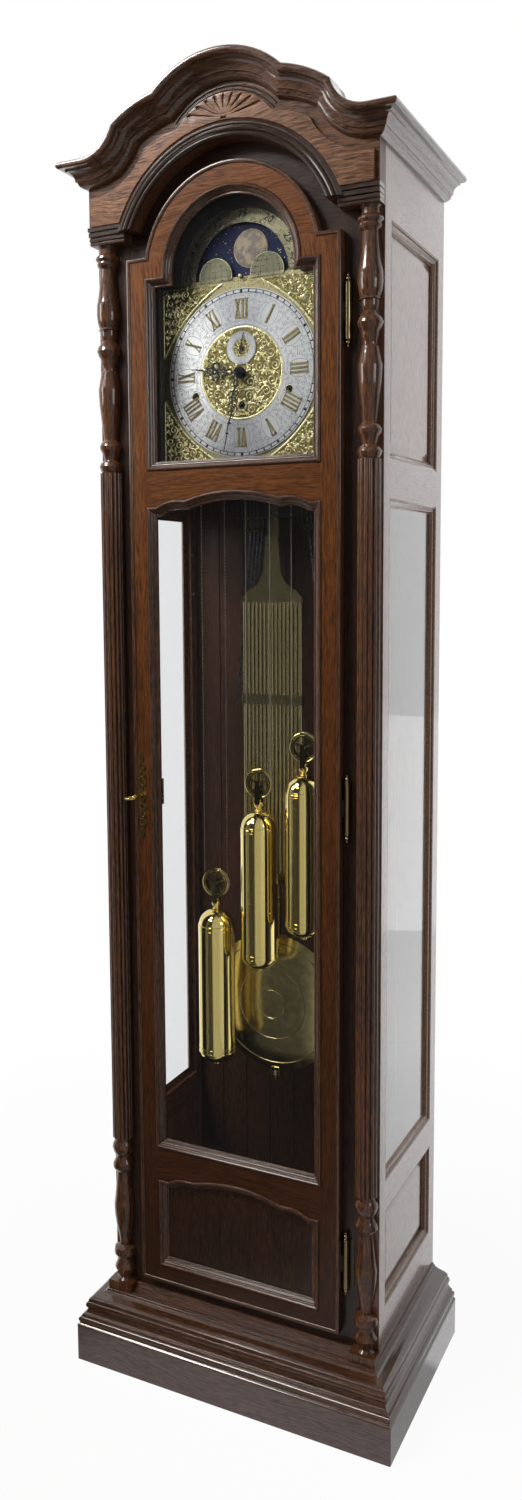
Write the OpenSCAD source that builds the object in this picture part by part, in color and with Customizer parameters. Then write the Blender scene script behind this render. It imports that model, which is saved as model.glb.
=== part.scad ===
/* [Plinth and base] */
// Height of the plinth
plinth_h = 59; // [45:1:90]
// Thickness of the plinth boards
plinth_board = 22; // [18:1:28]
// Thickness of the floor board that closes the case
floor_t = 16; // [12:1:20]
// How far the base moulding stands out from the case
base_moulding_w = 41.5; // [38:0.5:50]
// Height of the base moulding above the plinth
base_moulding_h = 58; // [54:1:70]
// Thickness of the board behind the front base moulding
base_board_t = 21; // [18:1:26]

/* [Case] */
// Width of the case across its sides
case_w = 472; // [455:1:500]
// Depth of the case from the wall to the face frame
case_d = 277; // [270:1:300]
// Height of the case sides
side_h = 1830; // [1780:1:1900]
// Thickness of the case sides
side_t = 20; // [18:1:24]
// Thickness of the face frame
face_t = 20; // [16:1:24]
// Width of the face frame beside the door opening
stile_w = 64; // [60:1:70]
// Thickness of the back panel
back_t = 8; // [6:1:12]
// Thickness of the roof board
roof_t = 12; // [10:1:16]

/* [Side frames] */
// Width of the front stile of a side
side_front_stile = 26; // [22:1:34]
// Width of the rear stile of a side
side_rear_stile = 28; // [24:1:36]
// Height of the bottom rail of a side
side_bottom_rail = 112; // [80:1:130]
// Height of the lower wooden panel
lower_panel_h = 155; // [120:1:190]
// Height of the rail under the side glass
side_lock_rail = 49; // [40:1:60]
// Height of the rail over the side glass
side_middle_rail = 57; // [45:1:70]
// Height of the upper wooden panel
upper_panel_h = 328; // [290:1:350]
// Height of the top rail of a side
side_top_rail = 99; // [80:1:115]
// Thickness of the side panels
panel_t = 8; // [6:1:10]
// Height of the raised field on a panel
field_rise = 3; // [2:0.5:4]
// Width of the flat border round a raised field
field_border = 26; // [18:1:34]
// Thickness of the glass panes
glass_t = 3; // [2:0.5:4]

/* [Door] */
// Thickness of the door
door_t = 14; // [12:1:18]
// How far the door lies over the face frame on each side
door_lap = 4.5; // [3:0.5:7]
// Height of the door bottom over the floor board
door_lift = 73; // [66:1:90]
// Radius of the arched door head
door_arch_r = 145; // [138:1:150]
// Height of the door shoulders over the centre of the arch
door_shoulder = 25; // [18:1:32]
// Width of the door stiles beside the windows
door_stile = 31.5; // [28:0.5:36]
// Height of the bottom rail of the door
door_bottom_rail = 29; // [24:1:36]
// Height of the wooden panel in the door at its corners
door_panel_h = 148; // [120:1:170]
// Height of the rail between the door panel and the trunk window
door_lock_rail = 55; // [48:1:66]
// Height of the rail between the two windows at its corners
door_middle_rail = 55; // [48:1:66]
// Height of the dial window up to its shoulders
dial_window_h = 288; // [276:1:296]
// Radius of the arch of the dial window
dial_window_r = 115; // [110:1:122]
// Depth of the dial window shoulders below the centre of the door arch
dial_window_drop = 6; // [2:1:12]
// Width of the moulding round the windows
window_moulding_w = 14; // [10:1:18]
// Width of the bead along the door edge
edge_bead_w = 6; // [4:0.5:8]
// Rise of the window tops at the shoulders
shoulder_rise = 10; // [7:1:13]
// Rise of the window tops in the middle
window_rise = 21.5; // [18:0.5:26]

/* [Columns] */
// Radius of the reeded shaft
column_r = 17.6; // [16:0.1:18.5]
// Number of reeds round a whole column
reeds = 14; // [10:1:18]
// Distance from the column axis to the outer face of the case
column_inset = 19.5; // [18:0.5:24]
// Height of the turned part at the top of a column
column_top_h = 344; // [320:1:370]
// Height of the turned part at the foot of a column
column_foot_h = 249; // [236:1:270]
// Height of the block under a column
foot_block_h = 14; // [10:1:20]
// How far the column axis stands in front of the face frame
column_out = 4; // [2:0.5:6]

/* [Hood] */
// Height of the case top over the centre of the door arch
arch_drop = 138; // [132:1:144]
// Thickness of the frieze board
frieze_t = 24; // [20:1:28]
// Radius of the arched opening in the frieze
frieze_arch_r = 171; // [166:1:176]
// Width of the arch moulding
arch_moulding_w = 24; // [18:1:28]
// Thickness of the arch moulding
arch_moulding_t = 8; // [6:0.5:10]
// Height of the frieze bottom over the centre of the door arch
frieze_lift = 65; // [58:1:70]
// Height of the step under the frieze ends
frieze_step = 14; // [10:1:18]
// Thickness of the raised overlay on the frieze
overlay_t = 5; // [3:0.5:7]
// Radius of the middle arch of the crest
crest_r = 150; // [146:1:154]
// Radius of the rounded shoulders of the crest
crest_shoulder_r = 191; // [186:1:196]
// Radius of the hollow ends of the crest
crest_hollow_r = 54; // [50:1:58]
// Height of the crown ends over the case top
crown_rise = 32; // [28:1:36]
// Height of the crown moulding section
crown_h = 36; // [34:1:38]
// Projection of the crown moulding
crown_w = 36; // [32:1:40]
// Number of carved rays in the fan
fan_rays = 9; // [7:2:13]

/* [Dial] */
// Half width of the dial plate
dial_half = 138; // [134:1:144]
// Radius of the arch of the dial plate
dial_arch_r = 98; // [96:1:104]
// Thickness of the dial plate
dial_t = 2; // [1.5:0.5:3]
// Distance of the dial face behind the front of the case
dial_inset = 27; // [24:1:30]
// Depth of the dial centre below the centre of the door arch
dial_drop = 151.5; // [148:0.5:155]
// Outer radius of the chapter ring
chapter_r = 125; // [120:1:128]
// Inner radius of the chapter ring
chapter_inner_r = 69.5; // [66:0.5:74]
// Height of the seconds ring centre over the dial centre
seconds_lift = 37; // [34:1:39]
// Outer radius of the seconds ring
seconds_r = 24.5; // [22:0.5:26]
// Inner radius of the seconds ring
seconds_inner_r = 13.7; // [12:0.1:16]
// Radius of the moon opening
moon_opening_r = 78; // [74:1:80]
// Radius of the two humps that hide the moon
hump_r = 28; // [25:1:31]
// Distance of the hump centres from the middle
hump_x = 43; // [40:1:47]
// Radius of the moon disc
moon_disc_r = 84; // [82:1:88]
// Radius of the winding holes
winding_hole_r = 6; // [5:0.5:8]

/* [Movement] */
// Distance of the outer winding squares from the middle
winding_x = 79; // [76:1:82]
// Depth of the outer winding squares below the dial centre
winding_drop = 29.5; // [27:0.5:32]
// Depth of the middle winding square below the dial centre
winding_middle_drop = 47.5; // [45:0.5:50]
// Thickness of the movement plates
plate_t = 3; // [2.5:0.5:4]
// Half width of the movement plates
plate_half = 110; // [108:1:116]
// Distance between the backs of the two movement plates
movement_t = 67; // [64:1:72]
// Distance of the back of the front plate behind the dial face
dial_foot = 18; // [17:1:22]
// Radius of the cable line on a drum and on a pulley
cable_wrap_r = 21; // [20:0.5:21.5]
// Thickness of a cable
cable_t = 1.4; // [1:0.1:1.6]
// Radius of the great wheels
great_wheel_r = 34; // [30:1:36]
// Thickness of the seat board
seat_t = 18; // [15:1:22]
// Projection of the seat board behind the rear plate
seat_behind = 5; // [2:1:8]
// Projection of the seat board in front of the front plate
seat_before = 4; // [2:1:5]
// Height of the anchor arbor over the escape wheel
anchor_lift = 33.5; // [33:0.5:34.5]
// Radius of the escape wheel
escape_r = 18; // [17.5:0.25:18.5]

/* [Pendulum and weights] */
// Distance of the pendulum behind the rear plate
pendulum_gap = 25; // [24:1:28]
// Length from the suspension to the middle of the bob
pendulum_l = 1086; // [1000:1:1110]
// Radius of the bob
bob_r = 117; // [100:1:125]
// Thickness of the bob
bob_t = 34; // [24:1:36]
// Half width of the fluted pendulum grid
grid_half = 54; // [46:1:58]
// Depth of the top of the grid below the suspension
grid_drop = 410; // [390:1:440]
// Height of the grid
grid_h = 470; // [420:1:500]
// Distance of the weights in front of the back of the rear plate
weight_gap = 35; // [33:1:36]
// Radius of a weight
weight_r = 30; // [26:1:31]
// Length of a weight shell
weight_h = 215; // [190:1:235]
// Height of the domed top of a weight
weight_dome = 27; // [14:1:30]
// Height of the domed bottom of a weight
weight_foot = 20; // [12:1:24]
// Depth of the left pulley below the seat board
left_drop = 667.5; // [600:0.5:700]
// Depth of the middle pulley below the seat board
middle_drop = 496.5; // [430:0.5:520]
// Depth of the right pulley below the seat board
right_drop = 433.5; // [380:0.5:460]

/* [Chimes] */
// Distance from the wall to the chime rods
chime_d = 56; // [52:1:60]
// Radius of a chime rod
chime_rod_r = 1.5; // [1:0.1:2]
// Distance between two rods
chime_pitch = 7; // [6.8:0.1:8]
// Length of the longest rod on the left
chime_left_l = 335; // [300:1:360]
// Length of the longest rod on the right
chime_right_l = 225; // [200:1:250]
// How much shorter each next rod on the left is
chime_left_step = 30; // [20:1:40]
// How much shorter each next rod on the right is
chime_right_step = 20; // [10:1:30]
// Length of a hammer
hammer_l = 84; // [80:1:88]
// Distance of the hammer arbor in front of the rods
hammer_out = 22; // [20:1:24]
// Height of the hammer arbor over the chime block
hammer_up = 36; // [34:1:38]

/* [Fittings] */
// Distance of the hinge axis from the door edge
hinge_out = 7.8; // [7:0.1:8.5]
// Radius of a hinge barrel
barrel_r = 4.5; // [4:0.1:5]
// Length of a hinge barrel without its finials
barrel_l = 76; // [60:1:90]
// Length of a finial
finial_l = 13; // [10:1:16]
// Height of the lowest hinge over the door bottom
hinge_low = 114; // [90:1:150]
// Height of the middle hinge over the door bottom
hinge_middle = 821.5; // [780:0.5:860]
// Depth of the top hinge below the door shoulder
hinge_high = 111; // [90:1:130]
// Distance of the keyhole from the door edge
keyhole_in = 14; // [13:0.5:15]
// Height of the keyhole over the door bottom
keyhole_h = 818; // [700:1:900]
// Length of the escutcheon
escutcheon_l = 142; // [120:1:160]

/* [Hidden] */
$fn = 64;
// Clearance round a piece that is set in a frame, and radial clearance of a shaft
fit = 0.3;
run = 0.05;
// Running gap behind the door
door_gap = 0.4;
// Clearance under a cable in the groove of its pulley
groove_clear = 0.4;

// Widths and depths, where depth is the distance from the wall
plinth_w = case_w + 2 * base_moulding_w;
plinth_d = case_d + base_board_t + base_moulding_w;
back_y = plinth_d / 2;
half = case_w / 2;
inner = half - side_t;
open_half = half - stile_w;
door_half = open_half + door_lap;
win_half = door_half - door_stile;
door_back = case_d + door_gap;
door_front = door_back + door_t;
glass_front = door_back + 1 + glass_t;
frieze_front = case_d + frieze_t;
dial_d = case_d - dial_inset;
front_plate_d = dial_d - dial_foot;
rear_plate_d = front_plate_d - movement_t;
seat_back_d = rear_plate_d - seat_behind;
seat_front_d = front_plate_d + plate_t + seat_before;
pendulum_d = rear_plate_d - pendulum_gap;
weight_d = rear_plate_d + weight_gap;
hinge_x = door_half + hinge_out;
hinge_d = door_back + door_t / 2 - 0.4;

// Heights over the floor
z_floor = plinth_h + floor_t;
case_top = z_floor + side_h;
arch_z = case_top - arch_drop;
door_z = z_floor + door_lift;
door_top = arch_z + door_shoulder;
door_panel_z = door_z + door_bottom_rail;
door_panel_top = door_panel_z + door_panel_h;
trunk_z = door_panel_top + door_lock_rail;
dial_window_top = arch_z - dial_window_drop;
dial_window_z = dial_window_top - dial_window_h;
trunk_top = dial_window_z - door_middle_rail;
frieze_z = arch_z + frieze_lift;
dial_z = arch_z - dial_drop;
moon_z = arch_z - 10;
seat_top = dial_z - dial_half;
seat_z = seat_top - seat_t;
lower_panel_z = z_floor + side_bottom_rail;
side_glass_z = lower_panel_z + lower_panel_h + side_lock_rail;
upper_panel_z = case_top - side_top_rail - upper_panel_h;
side_glass_top = upper_panel_z - side_middle_rail;
column_z = z_floor + base_moulding_h - floor_t;
block_top = column_z + foot_block_h;

// Movement: arbors as [x, z], and the depths of what sits on them
escape_z = dial_z + seconds_lift;
swing_z = escape_z + anchor_lift;
winding = [
    [-winding_x, dial_z - winding_drop],
    [0, dial_z - winding_middle_drop],
    [winding_x, dial_z - winding_drop]
];
pulley_z = [seat_top - left_drop, seat_top - middle_drop, seat_top - right_drop];
arbor_r = 2.5;
motion_d = front_plate_d + plate_t + 2;
motion_t = 2.4;
// Teeth and pitch radii of the motion work, which turns 1 to 12
cannon_teeth = 15;
minute_teeth = 45;
pinion_teeth = 10;
hour_teeth = 40;
motion_centres = 18;
motion_angle = -30;
cannon_pitch_r = motion_centres * cannon_teeth / (cannon_teeth + minute_teeth);
minute_pitch_r = motion_centres - cannon_pitch_r;
pinion_pitch_r = motion_centres * pinion_teeth / (pinion_teeth + hour_teeth);
hour_pitch_r = motion_centres - pinion_pitch_r;
motion_x = motion_centres * cos(motion_angle);
motion_z = dial_z + motion_centres * sin(motion_angle);
// Hands as clock angles from twelve
hour_angle = 277.3;
minute_angle = 192;
second_angle = 12;
hour_hand_l = 85;
minute_hand_l = 122;

// Crest of the hood: centres of its arcs, from the middle to the right end
crest_mid = [0, case_top - 4];
crest_end_z = case_top + crown_rise;
crest_hollow = [half - 8, crest_end_z + crest_hollow_r];
crest_shoulder = crest_hollow + [-165, -168];

// Tops of the trunk window and of the door panel: radii and places of their arcs
window_shoulder_r = 70;
window_shoulder_in = 53;
window_arc_r = 254;

// A place at a distance from the wall
function at(d) = back_y - d;
function arc(c, r, a0, a1, n) =
    [for (i = [0:n]) let (a = a0 + (a1 - a0) * i / n) c + r * [cos(a), sin(a)]];
function turn_of(v) = (atan2(v[1], v[0]) + 360) % 360;
// The crossing of two circles that lies to the left of the way from one to the other
function meet(ca, ra, cb, rb) =
    let (v = cb - ca, l = norm(v), u = v / l, s = (ra * ra - rb * rb + l * l) / (2 * l))
    ca + s * u + sqrt(ra * ra - s * s) * [-u[1], u[0]];
function flipped(ring) = [for (p = ring) [-p[0], p[1], p[2]]];
// A closed outline from its right half, which runs up to the middle
function both_halves(right) =
    concat(right, [for (i = [len(right) - 2:-1:0]) [-right[i][0], right[i][1]]]);

// Outline with square shoulders and a round arch, set in by a
function arched_line(w, z0, zs, r, zc, a) =
    let (s = zs - a, ra = r - a, t = asin((s - zc) / ra))
    both_halves(concat([[w - a, z0 + a], [w - a, s]], arc([0, zc], ra, t, 90, 14)));
// Outline whose top has two low shoulders and a middle arc, set in by a
function shouldered_line(w, z0, zt, a) =
    let (
        cs = [w - window_shoulder_in, zt + shoulder_rise - window_shoulder_r],
        ca = [0, zt + window_rise - window_arc_r],
        rs = window_shoulder_r - a,
        ra = window_arc_r - a,
        z = zt - a,
        cusp = meet(ca, ra, cs, rs),
        flat = asin((z - cs[1]) / rs)
    )
    both_halves(concat(
        [[w - a, z0 + a], [w - a, z]],
        arc(cs, rs, flat, turn_of(cusp - cs), 5),
        arc(ca, ra, turn_of(cusp - ca), 90, 6)
    ));
// Right half of the crest outline, set in by a, from its end at x to the middle
function crest_half(a, x) =
    let (
        r1 = crest_r - a,
        r2 = crest_shoulder_r - a,
        r3 = crest_hollow_r + a,
        p12 = meet(crest_mid, r1, crest_shoulder, r2),
        p23 = meet(crest_shoulder, r2, crest_hollow, r3)
    )
    concat(
        [[x, crest_end_z - a]],
        arc(crest_hollow, r3, 270, turn_of(p23 - crest_hollow), 8),
        arc(crest_shoulder, r2, turn_of(p23 - crest_shoulder), turn_of(p12 - crest_shoulder), 7),
        arc(crest_mid, r1, turn_of(p12 - crest_mid), 90, 9)
    );
function door_line(a) = arched_line(door_half, door_z, door_top, door_arch_r, arch_z, a);
function dial_window_line(a) =
    arched_line(win_half, dial_window_z, dial_window_top, dial_window_r, arch_z - 3, a);
function trunk_window_line(a) = shouldered_line(win_half + 1, trunk_z, trunk_top, a);
function door_panel_line(a) =
    shouldered_line(win_half - 3, door_panel_z, door_panel_top, a);
function dial_line(a) =
    arched_line(dial_half, dial_z - dial_half, moon_z - 4, dial_arch_r, moon_z, a);

// An upright outline in x and z, from one depth to another
module slab(d0, d1) {
    translate([0, at(d0), 0])
        rotate([90, 0, 0])
            linear_extrude(d1 - d0)
                children();
}
// An upright outline in depth and height, from one x to another
module side_slab(x0, x1) {
    translate([x0, 0, 0])
        rotate([90, 0, 90])
            linear_extrude(x1 - x0)
                children();
}
module box(x0, x1, d0, d1, z0, z1) {
    translate([x0, at(d1), z0])
        cube([x1 - x0, d1 - d0, z1 - z0]);
}
module both_sides() {
    children();
    mirror([1, 0, 0]) children();
}
// A rod along the depth
module peg(x, z, r, d0, d1) {
    translate([x, at(d0), z])
        rotate([90, 0, 0])
            cylinder(r = r, h = d1 - d0);
}
// A skin through a row of rings with the same number of points
module loft(rings, closed = false) {
    n = len(rings);
    m = len(rings[0]);
    walls = [
        for (i = [0:(closed ? n : n - 1) - 1], j = [0:m - 1])
            let (
                a = i * m + j,
                b = i * m + (j + 1) % m,
                c = ((i + 1) % n) * m + (j + 1) % m,
                d = ((i + 1) % n) * m + j
            )
            each [[a, b, c], [a, c, d]]
    ];
    caps = closed ? [] : [[for (j = [m - 1:-1:0]) j], [for (j = [0:m - 1]) (n - 1) * m + j]];
    points = [for (r = rings) each r];
    faces = concat(walls, caps);
    parts = [for (f = faces, i = [1:len(f) - 2])
        (points[f[0]] - points[0]) * cross(points[f[i]] - points[0], points[f[i + 1]] - points[0])];
    inside_out = parts * [for (v = parts) 1] > 0;
    polyhedron(points, inside_out ? [for (f = faces) [for (k = [len(f) - 1:-1:0]) f[k]]] : faces);
}
// A moulding round a closed outline: each point of its section has a line and a depth
module trim(lines, depths) {
    loft(
        [for (i = [0:len(lines[0]) - 1])
            [for (k = [0:len(lines) - 1]) [lines[k][i][0], at(depths[k]), lines[k][i][1]]]],
        true
    );
}
function wheel_points(teeth, r, h, turn) =
    [for (i = [0:teeth - 1], p = [[-0.29, -1.25], [-0.12, 0.9], [0.12, 0.9], [0.29, -1.25]])
        let (a = turn + (i + p[0]) * 360 / teeth, q = r + p[1] * h) q * [cos(a), sin(a)]];
module gear(x, z, teeth, r, turn, d0, d1) {
    slab(d0, d1)
        translate([x, z])
            polygon(wheel_points(teeth, r, 2 * r / teeth, turn));
}

// Four boards on edge that carry the case
module plinth() {
    color("#2a1712") {
        box(-plinth_w / 2, plinth_w / 2, plinth_d - plinth_board, plinth_d, 0, plinth_h);
        box(-plinth_w / 2, plinth_w / 2, 0, plinth_board, 0, plinth_h);
        both_sides()
            box(plinth_w / 2 - plinth_board, plinth_w / 2, plinth_board,
                plinth_d - plinth_board, 0, plinth_h);
    }
}

// How far the floor board reaches past the case, halfway over the plinth boards
floor_lap = base_moulding_w - plinth_board / 2;

// Floor under the case and roof over it
module case_boards() {
    color("#2b1a13") {
        box(-half - floor_lap, half + floor_lap, 0, case_d + base_board_t + floor_lap,
            plinth_h, z_floor);
        box(-half, half, 0, case_d - face_t, case_top, case_top + roof_t);
    }
}

// Board behind the front base moulding, with three fillets that step back to the case
module base_board() {
    ledge = half - 2 * column_inset - 2;
    color("#321c13") {
        box(-half, half, case_d, case_d + base_board_t, z_floor, column_z);
        for (i = [0:2])
            box(-ledge, ledge, case_d, case_d + base_board_t - 5 * (i + 1),
                column_z, column_z + 3.5 * (i + 1));
    }
}

// Section of the base moulding as shares of its width and height
base_section = [
    [1, 0], [1, 0.04], [0.93, 0.08], [0.925, 0.12], [0.955, 0.155], [0.963, 0.19],
    [0.95, 0.235], [0.905, 0.265], [0.855, 0.27], [0.85, 0.33], [0.76, 0.36], [0.7, 0.42],
    [0.68, 0.485], [0.723, 0.515], [0.747, 0.57], [0.737, 0.62], [0.7, 0.665],
    [0.663, 0.672], [0.658, 0.725], [0.627, 0.767], [0.53, 0.807], [0.36, 0.838],
    [0.24, 0.862], [0.157, 0.897], [0.108, 0.9], [0.108, 0.948], [0.048, 0.952],
    [0.048, 1], [0, 1]
];

// Moulding on the plinth round three sides of the foot of the case
module base_moulding() {
    section = concat(
        [for (p = base_section) [p[0] * base_moulding_w, plinth_h + p[1] * base_moulding_h]],
        [[0, z_floor], [floor_lap, z_floor], [floor_lap, plinth_h]]
    );
    front_d = case_d + base_board_t;
    front = [for (p = section) [half + p[0], at(front_d + p[0]), p[1]]];
    rear = [for (p = section) [half + p[0], at(0), p[1]]];
    color("#3a2116")
        loft([flipped(rear), flipped(front), front, rear]);
}

// Stiles and rails of one side, with two panel openings and one for the glass
module side_frame() {
    y0 = at(case_d - side_front_stile);
    w = case_d - side_front_stile - side_rear_stile;
    side_slab(inner, half)
        difference() {
            translate([at(case_d), z_floor]) square([case_d, side_h]);
            translate([y0, lower_panel_z]) square([w, lower_panel_h]);
            translate([y0, side_glass_z]) square([w, side_glass_top - side_glass_z]);
            translate([y0, upper_panel_z]) square([w, upper_panel_h]);
        }
}
module side_frame_right() {
    color("#4a2a1b") side_frame();
}
module side_frame_left() {
    color("#4a2a1b") mirror([1, 0, 0]) side_frame();
}

// Depth of a panel's face behind the outer face of its side
panel_recess = 8;

function side_ring(x, z0, z1, a) =
    let (y0 = at(case_d - side_front_stile) + a, y1 = at(side_rear_stile) - a)
    [[x, y0, z0 + a], [x, y1, z0 + a], [x, y1, z1 - a], [x, y0, z1 - a]];
module side_panel(z0, z1) {
    x = half - panel_recess - field_rise;
    box(x - panel_t, x, side_rear_stile + fit, case_d - side_front_stile - fit,
        z0 + fit, z1 - fit);
    loft([
        side_ring(x - 1, z0, z1, field_border - 8),
        side_ring(x, z0, z1, field_border - 8),
        side_ring(x + field_rise, z0, z1, field_border)
    ]);
}
// Raised panels, two in each side
module side_panels() {
    color("#5a3422")
        both_sides() {
            side_panel(lower_panel_z, lower_panel_z + lower_panel_h);
            side_panel(upper_panel_z, upper_panel_z + upper_panel_h);
        }
}

// A pane in each side
module side_glasses() {
    x = half - panel_recess;
    color([0.75, 0.8, 0.84, 0.4])
        both_sides()
            box(x - glass_t, x, side_rear_stile + fit, case_d - side_front_stile - fit,
                side_glass_z + fit, side_glass_top - fit);
}

// Thin panel let in between the sides at the back
module back_panel() {
    color("#35201a") box(-inner + fit, inner - fit, 2, 2 + back_t, z_floor, case_top);
}

// Frame behind the door, with an arched opening and an arched head
module face_frame() {
    color("#2c1812")
        slab(case_d - face_t, case_d)
            difference() {
                union() {
                    translate([-inner, z_floor]) square([2 * inner, side_h]);
                    translate([0, arch_z]) circle(frieze_arch_r + 19, $fn = 96);
                }
                polygon(arched_line(open_half, door_z + door_lap, door_top - door_lap,
                    door_arch_r - door_lap, arch_z, 0));
            }
}

// Turned outlines as height and radius, measured on the column
column_foot = [
    [0, 15], [3.6, 10.1], [8.4, 13.5], [14.4, 15.7], [20, 17.9], [24, 17], [27.4, 15.1],
    [33.7, 12.9], [39.7, 14], [43.8, 18.2], [48.5, 18.7], [55.4, 17.4], [59.9, 8.7],
    [72.9, 10], [97, 14.5], [113.3, 16.7], [129.8, 17.4], [144, 15.6], [173, 12.9],
    [188.5, 11.4], [192, 15], [197.3, 18], [203, 17.8], [206, 16.6], [213, 12.8],
    [217.2, 12.4], [220, 14], [223.8, 16.6], [232.5, 18.6], [238, 17.6], [243.4, 14.4],
    [249, 14.4]
];
column_top = [
    [0, 14.4], [3.8, 16.6], [10.4, 18.6], [15.4, 16.3], [20.2, 10.8], [29.4, 13],
    [36, 16.9], [41.3, 17.8], [46.3, 15.6], [51, 10.8], [61, 11.7], [79.5, 13.9],
    [105, 16.8], [128, 17.9], [143, 15.2], [154.5, 12.9], [156.8, 10.7], [162, 11],
    [168.5, 12.7], [175, 13.6], [180.4, 16.7], [187, 19.1], [193.2, 17.3], [196.7, 14.7],
    [202.4, 11.2], [209, 12.9], [217.8, 13.4], [218.5, 16.3], [221.8, 14.5],
    [229.6, 17.1], [242, 18.5], [257, 18], [269.6, 15.4], [294, 12.5], [310, 11.8],
    [314.8, 15.7], [318, 16.6], [321, 15.6], [325, 18.8], [328.4, 17.9], [332.7, 13.6],
    [340, 13.1], [344, 16]
];
module turning(outline, h) {
    stretch = h / outline[len(outline) - 1][0];
    rotate_extrude()
        polygon(concat([[0, 0]], [for (p = outline) [p[1], p[0] * stretch]], [[0, h]]));
}
// A ring of reeds that touch each other round a core
module reeded_shaft(h) {
    reed_r = column_r * PI / (reeds + PI);
    linear_extrude(h) {
        circle(column_r - reed_r);
        for (i = [0:reeds - 1])
            rotate((i + 0.5) * 360 / reeds)
                translate([column_r - reed_r, 0])
                    circle(reed_r * 1.04, $fn = 32);
    }
}
// Two turned and reeded half columns, each on its foot block
module columns() {
    x = half - column_inset;
    z1 = frieze_z - frieze_step - column_top_h;
    z0 = block_top + column_foot_h;
    color("#3c2217")
        both_sides() {
            box(x - column_inset - 2, x + column_inset + 2, case_d,
                case_d + base_board_t + 3, column_z, block_top);
            intersection() {
                translate([x, at(case_d + column_out), block_top]) {
                    turning(column_foot, column_foot_h);
                    translate([0, 0, column_foot_h]) reeded_shaft(z1 - z0);
                    translate([0, 0, z1 - block_top]) turning(column_top, column_top_h);
                }
                box(x - 30, x + 30, case_d, case_d + 40, block_top, frieze_z - frieze_step);
            }
        }
}

// Board over the door with an arched opening, cut to the crest, on a step at each end
module frieze() {
    color("#4c2b1c") {
        slab(case_d, frieze_front)
            difference() {
                polygon(both_halves(concat([[half, frieze_z]], crest_half(1, half))));
                translate([0, arch_z]) circle(frieze_arch_r, $fn = 96);
            }
        both_sides()
            box(half - 3 * column_inset - 3, half, case_d, frieze_front - 2,
                frieze_z - frieze_step, frieze_z + 1);
    }
}

// Distance of the overlay's top edge, and of the fan's ray tips, inside the crest
overlay_in = crown_h + 15;
ray_in = overlay_in + 2;

// A ray of the fan, from near its centre to its tip at x
module ray(x) {
    r = crest_r - ray_in;
    c = crest_mid + [0, r - 32];
    tip = crest_mid + [x, sqrt(r * r - x * x)];
    u = (tip - c) / norm(tip - c);
    n = [-u[1], u[0]] * 2.4;
    polygon([c + 12 * u, tip - 7 * u - n, tip - 2 * u - 0.8 * n, tip, tip - 2 * u + 0.8 * n,
        tip - 7 * u + n]);
}
// Raised overlay that follows the crest and the arch, with the fan cut into its middle
module frieze_overlay() {
    outer_r = frieze_arch_r + arch_moulding_w;
    face = frieze_front + overlay_t;
    color("#5b3524")
        difference() {
            slab(frieze_front, face)
                difference() {
                    polygon(both_halves(concat([[half - 6, frieze_z + 12]],
                        crest_half(overlay_in, half - 6))));
                    translate([0, arch_z]) circle(outer_r, $fn = 96);
                }
            slab(face - overlay_t / 2, face + 1)
                for (i = [-(fan_rays - 1) / 2:(fan_rays - 1) / 2])
                    ray(i * 120 / (fan_rays - 1));
        }
}

// Section of the arch moulding as shares of its width and thickness
arch_section = [
    [0, 0], [0, 0.5], [0.05, 0.8], [0.13, 0.95], [0.22, 0.8], [0.27, 0.5], [0.3, 0.5],
    [0.35, 0.85], [0.45, 1], [0.55, 0.85], [0.6, 0.5], [0.63, 0.5], [0.7, 0.7],
    [0.8, 0.7], [0.9, 0.5], [1, 0.4], [1, 0]
];
// Three beads round the arched opening of the frieze
module arch_moulding() {
    outer_r = frieze_arch_r + arch_moulding_w;
    color("#3b2318")
        intersection() {
            translate([0, at(frieze_front), arch_z])
                rotate([90, 0, 0])
                    rotate_extrude($fn = 96)
                        polygon([for (p = arch_section)
                            [frieze_arch_r + p[0] * arch_moulding_w, p[1] * arch_moulding_t]]);
            box(-outer_r - 1, outer_r + 1, frieze_front - 1, frieze_front + 20,
                frieze_z, arch_z + outer_r + 1);
        }
}

// Section of the crown as shares: how far down from the crest, and how far out
crown_section = [
    [0, 0], [0, 0.85], [0.02, 0.93], [0.08, 0.99], [0.15, 1], [0.22, 0.99], [0.28, 0.93],
    [0.3, 0.85], [0.3, 0.72], [0.37, 0.7], [0.4, 0.58], [0.48, 0.48], [0.6, 0.42],
    [0.75, 0.4], [0.75, 0.33], [0.82, 0.32], [0.9, 0.27], [0.96, 0.18], [1, 0.06], [1, 0]
];
// Crown moulding over the crest and back to the wall at both sides
module crown() {
    section = [for (p = crown_section) [p[0] * crown_h, p[1] * crown_w]];
    lines = [for (p = section) both_halves(crest_half(p[0], half + p[1]))];
    crest = [for (i = [0:len(lines[0]) - 1])
        [for (k = [0:len(section) - 1])
            [lines[k][i][0], at(frieze_front + section[k][1]), lines[k][i][1]]]];
    back_end = [for (p = section) [half + p[1], at(0), crest_end_z - p[0]]];
    color("#5a3524")
        loft(concat([back_end], crest, [flipped(back_end)]));
}

// Board that carries the movement, its two cleats and the pins that hold the cable ends
module seat_board() {
    slot_w = 10;
    color("#4a3022") {
        difference() {
            box(-inner, inner, seat_back_d, seat_front_d, seat_z, seat_top);
            for (w = winding, s = [-1, 1])
                box(w[0] + s * cable_wrap_r - slot_w / 2, w[0] + s * cable_wrap_r + slot_w / 2,
                    weight_d - 14, weight_d + 14, seat_z - 1, seat_top + 1);
        }
        both_sides()
            box(inner - 22, inner, seat_back_d - 30, seat_front_d, seat_z - 20, seat_z);
    }
    color("silver")
        for (w = winding)
            peg(w[0] + cable_wrap_r, seat_top + 1.5, 1.5, weight_d - 20, weight_d + 20);
}

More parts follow.
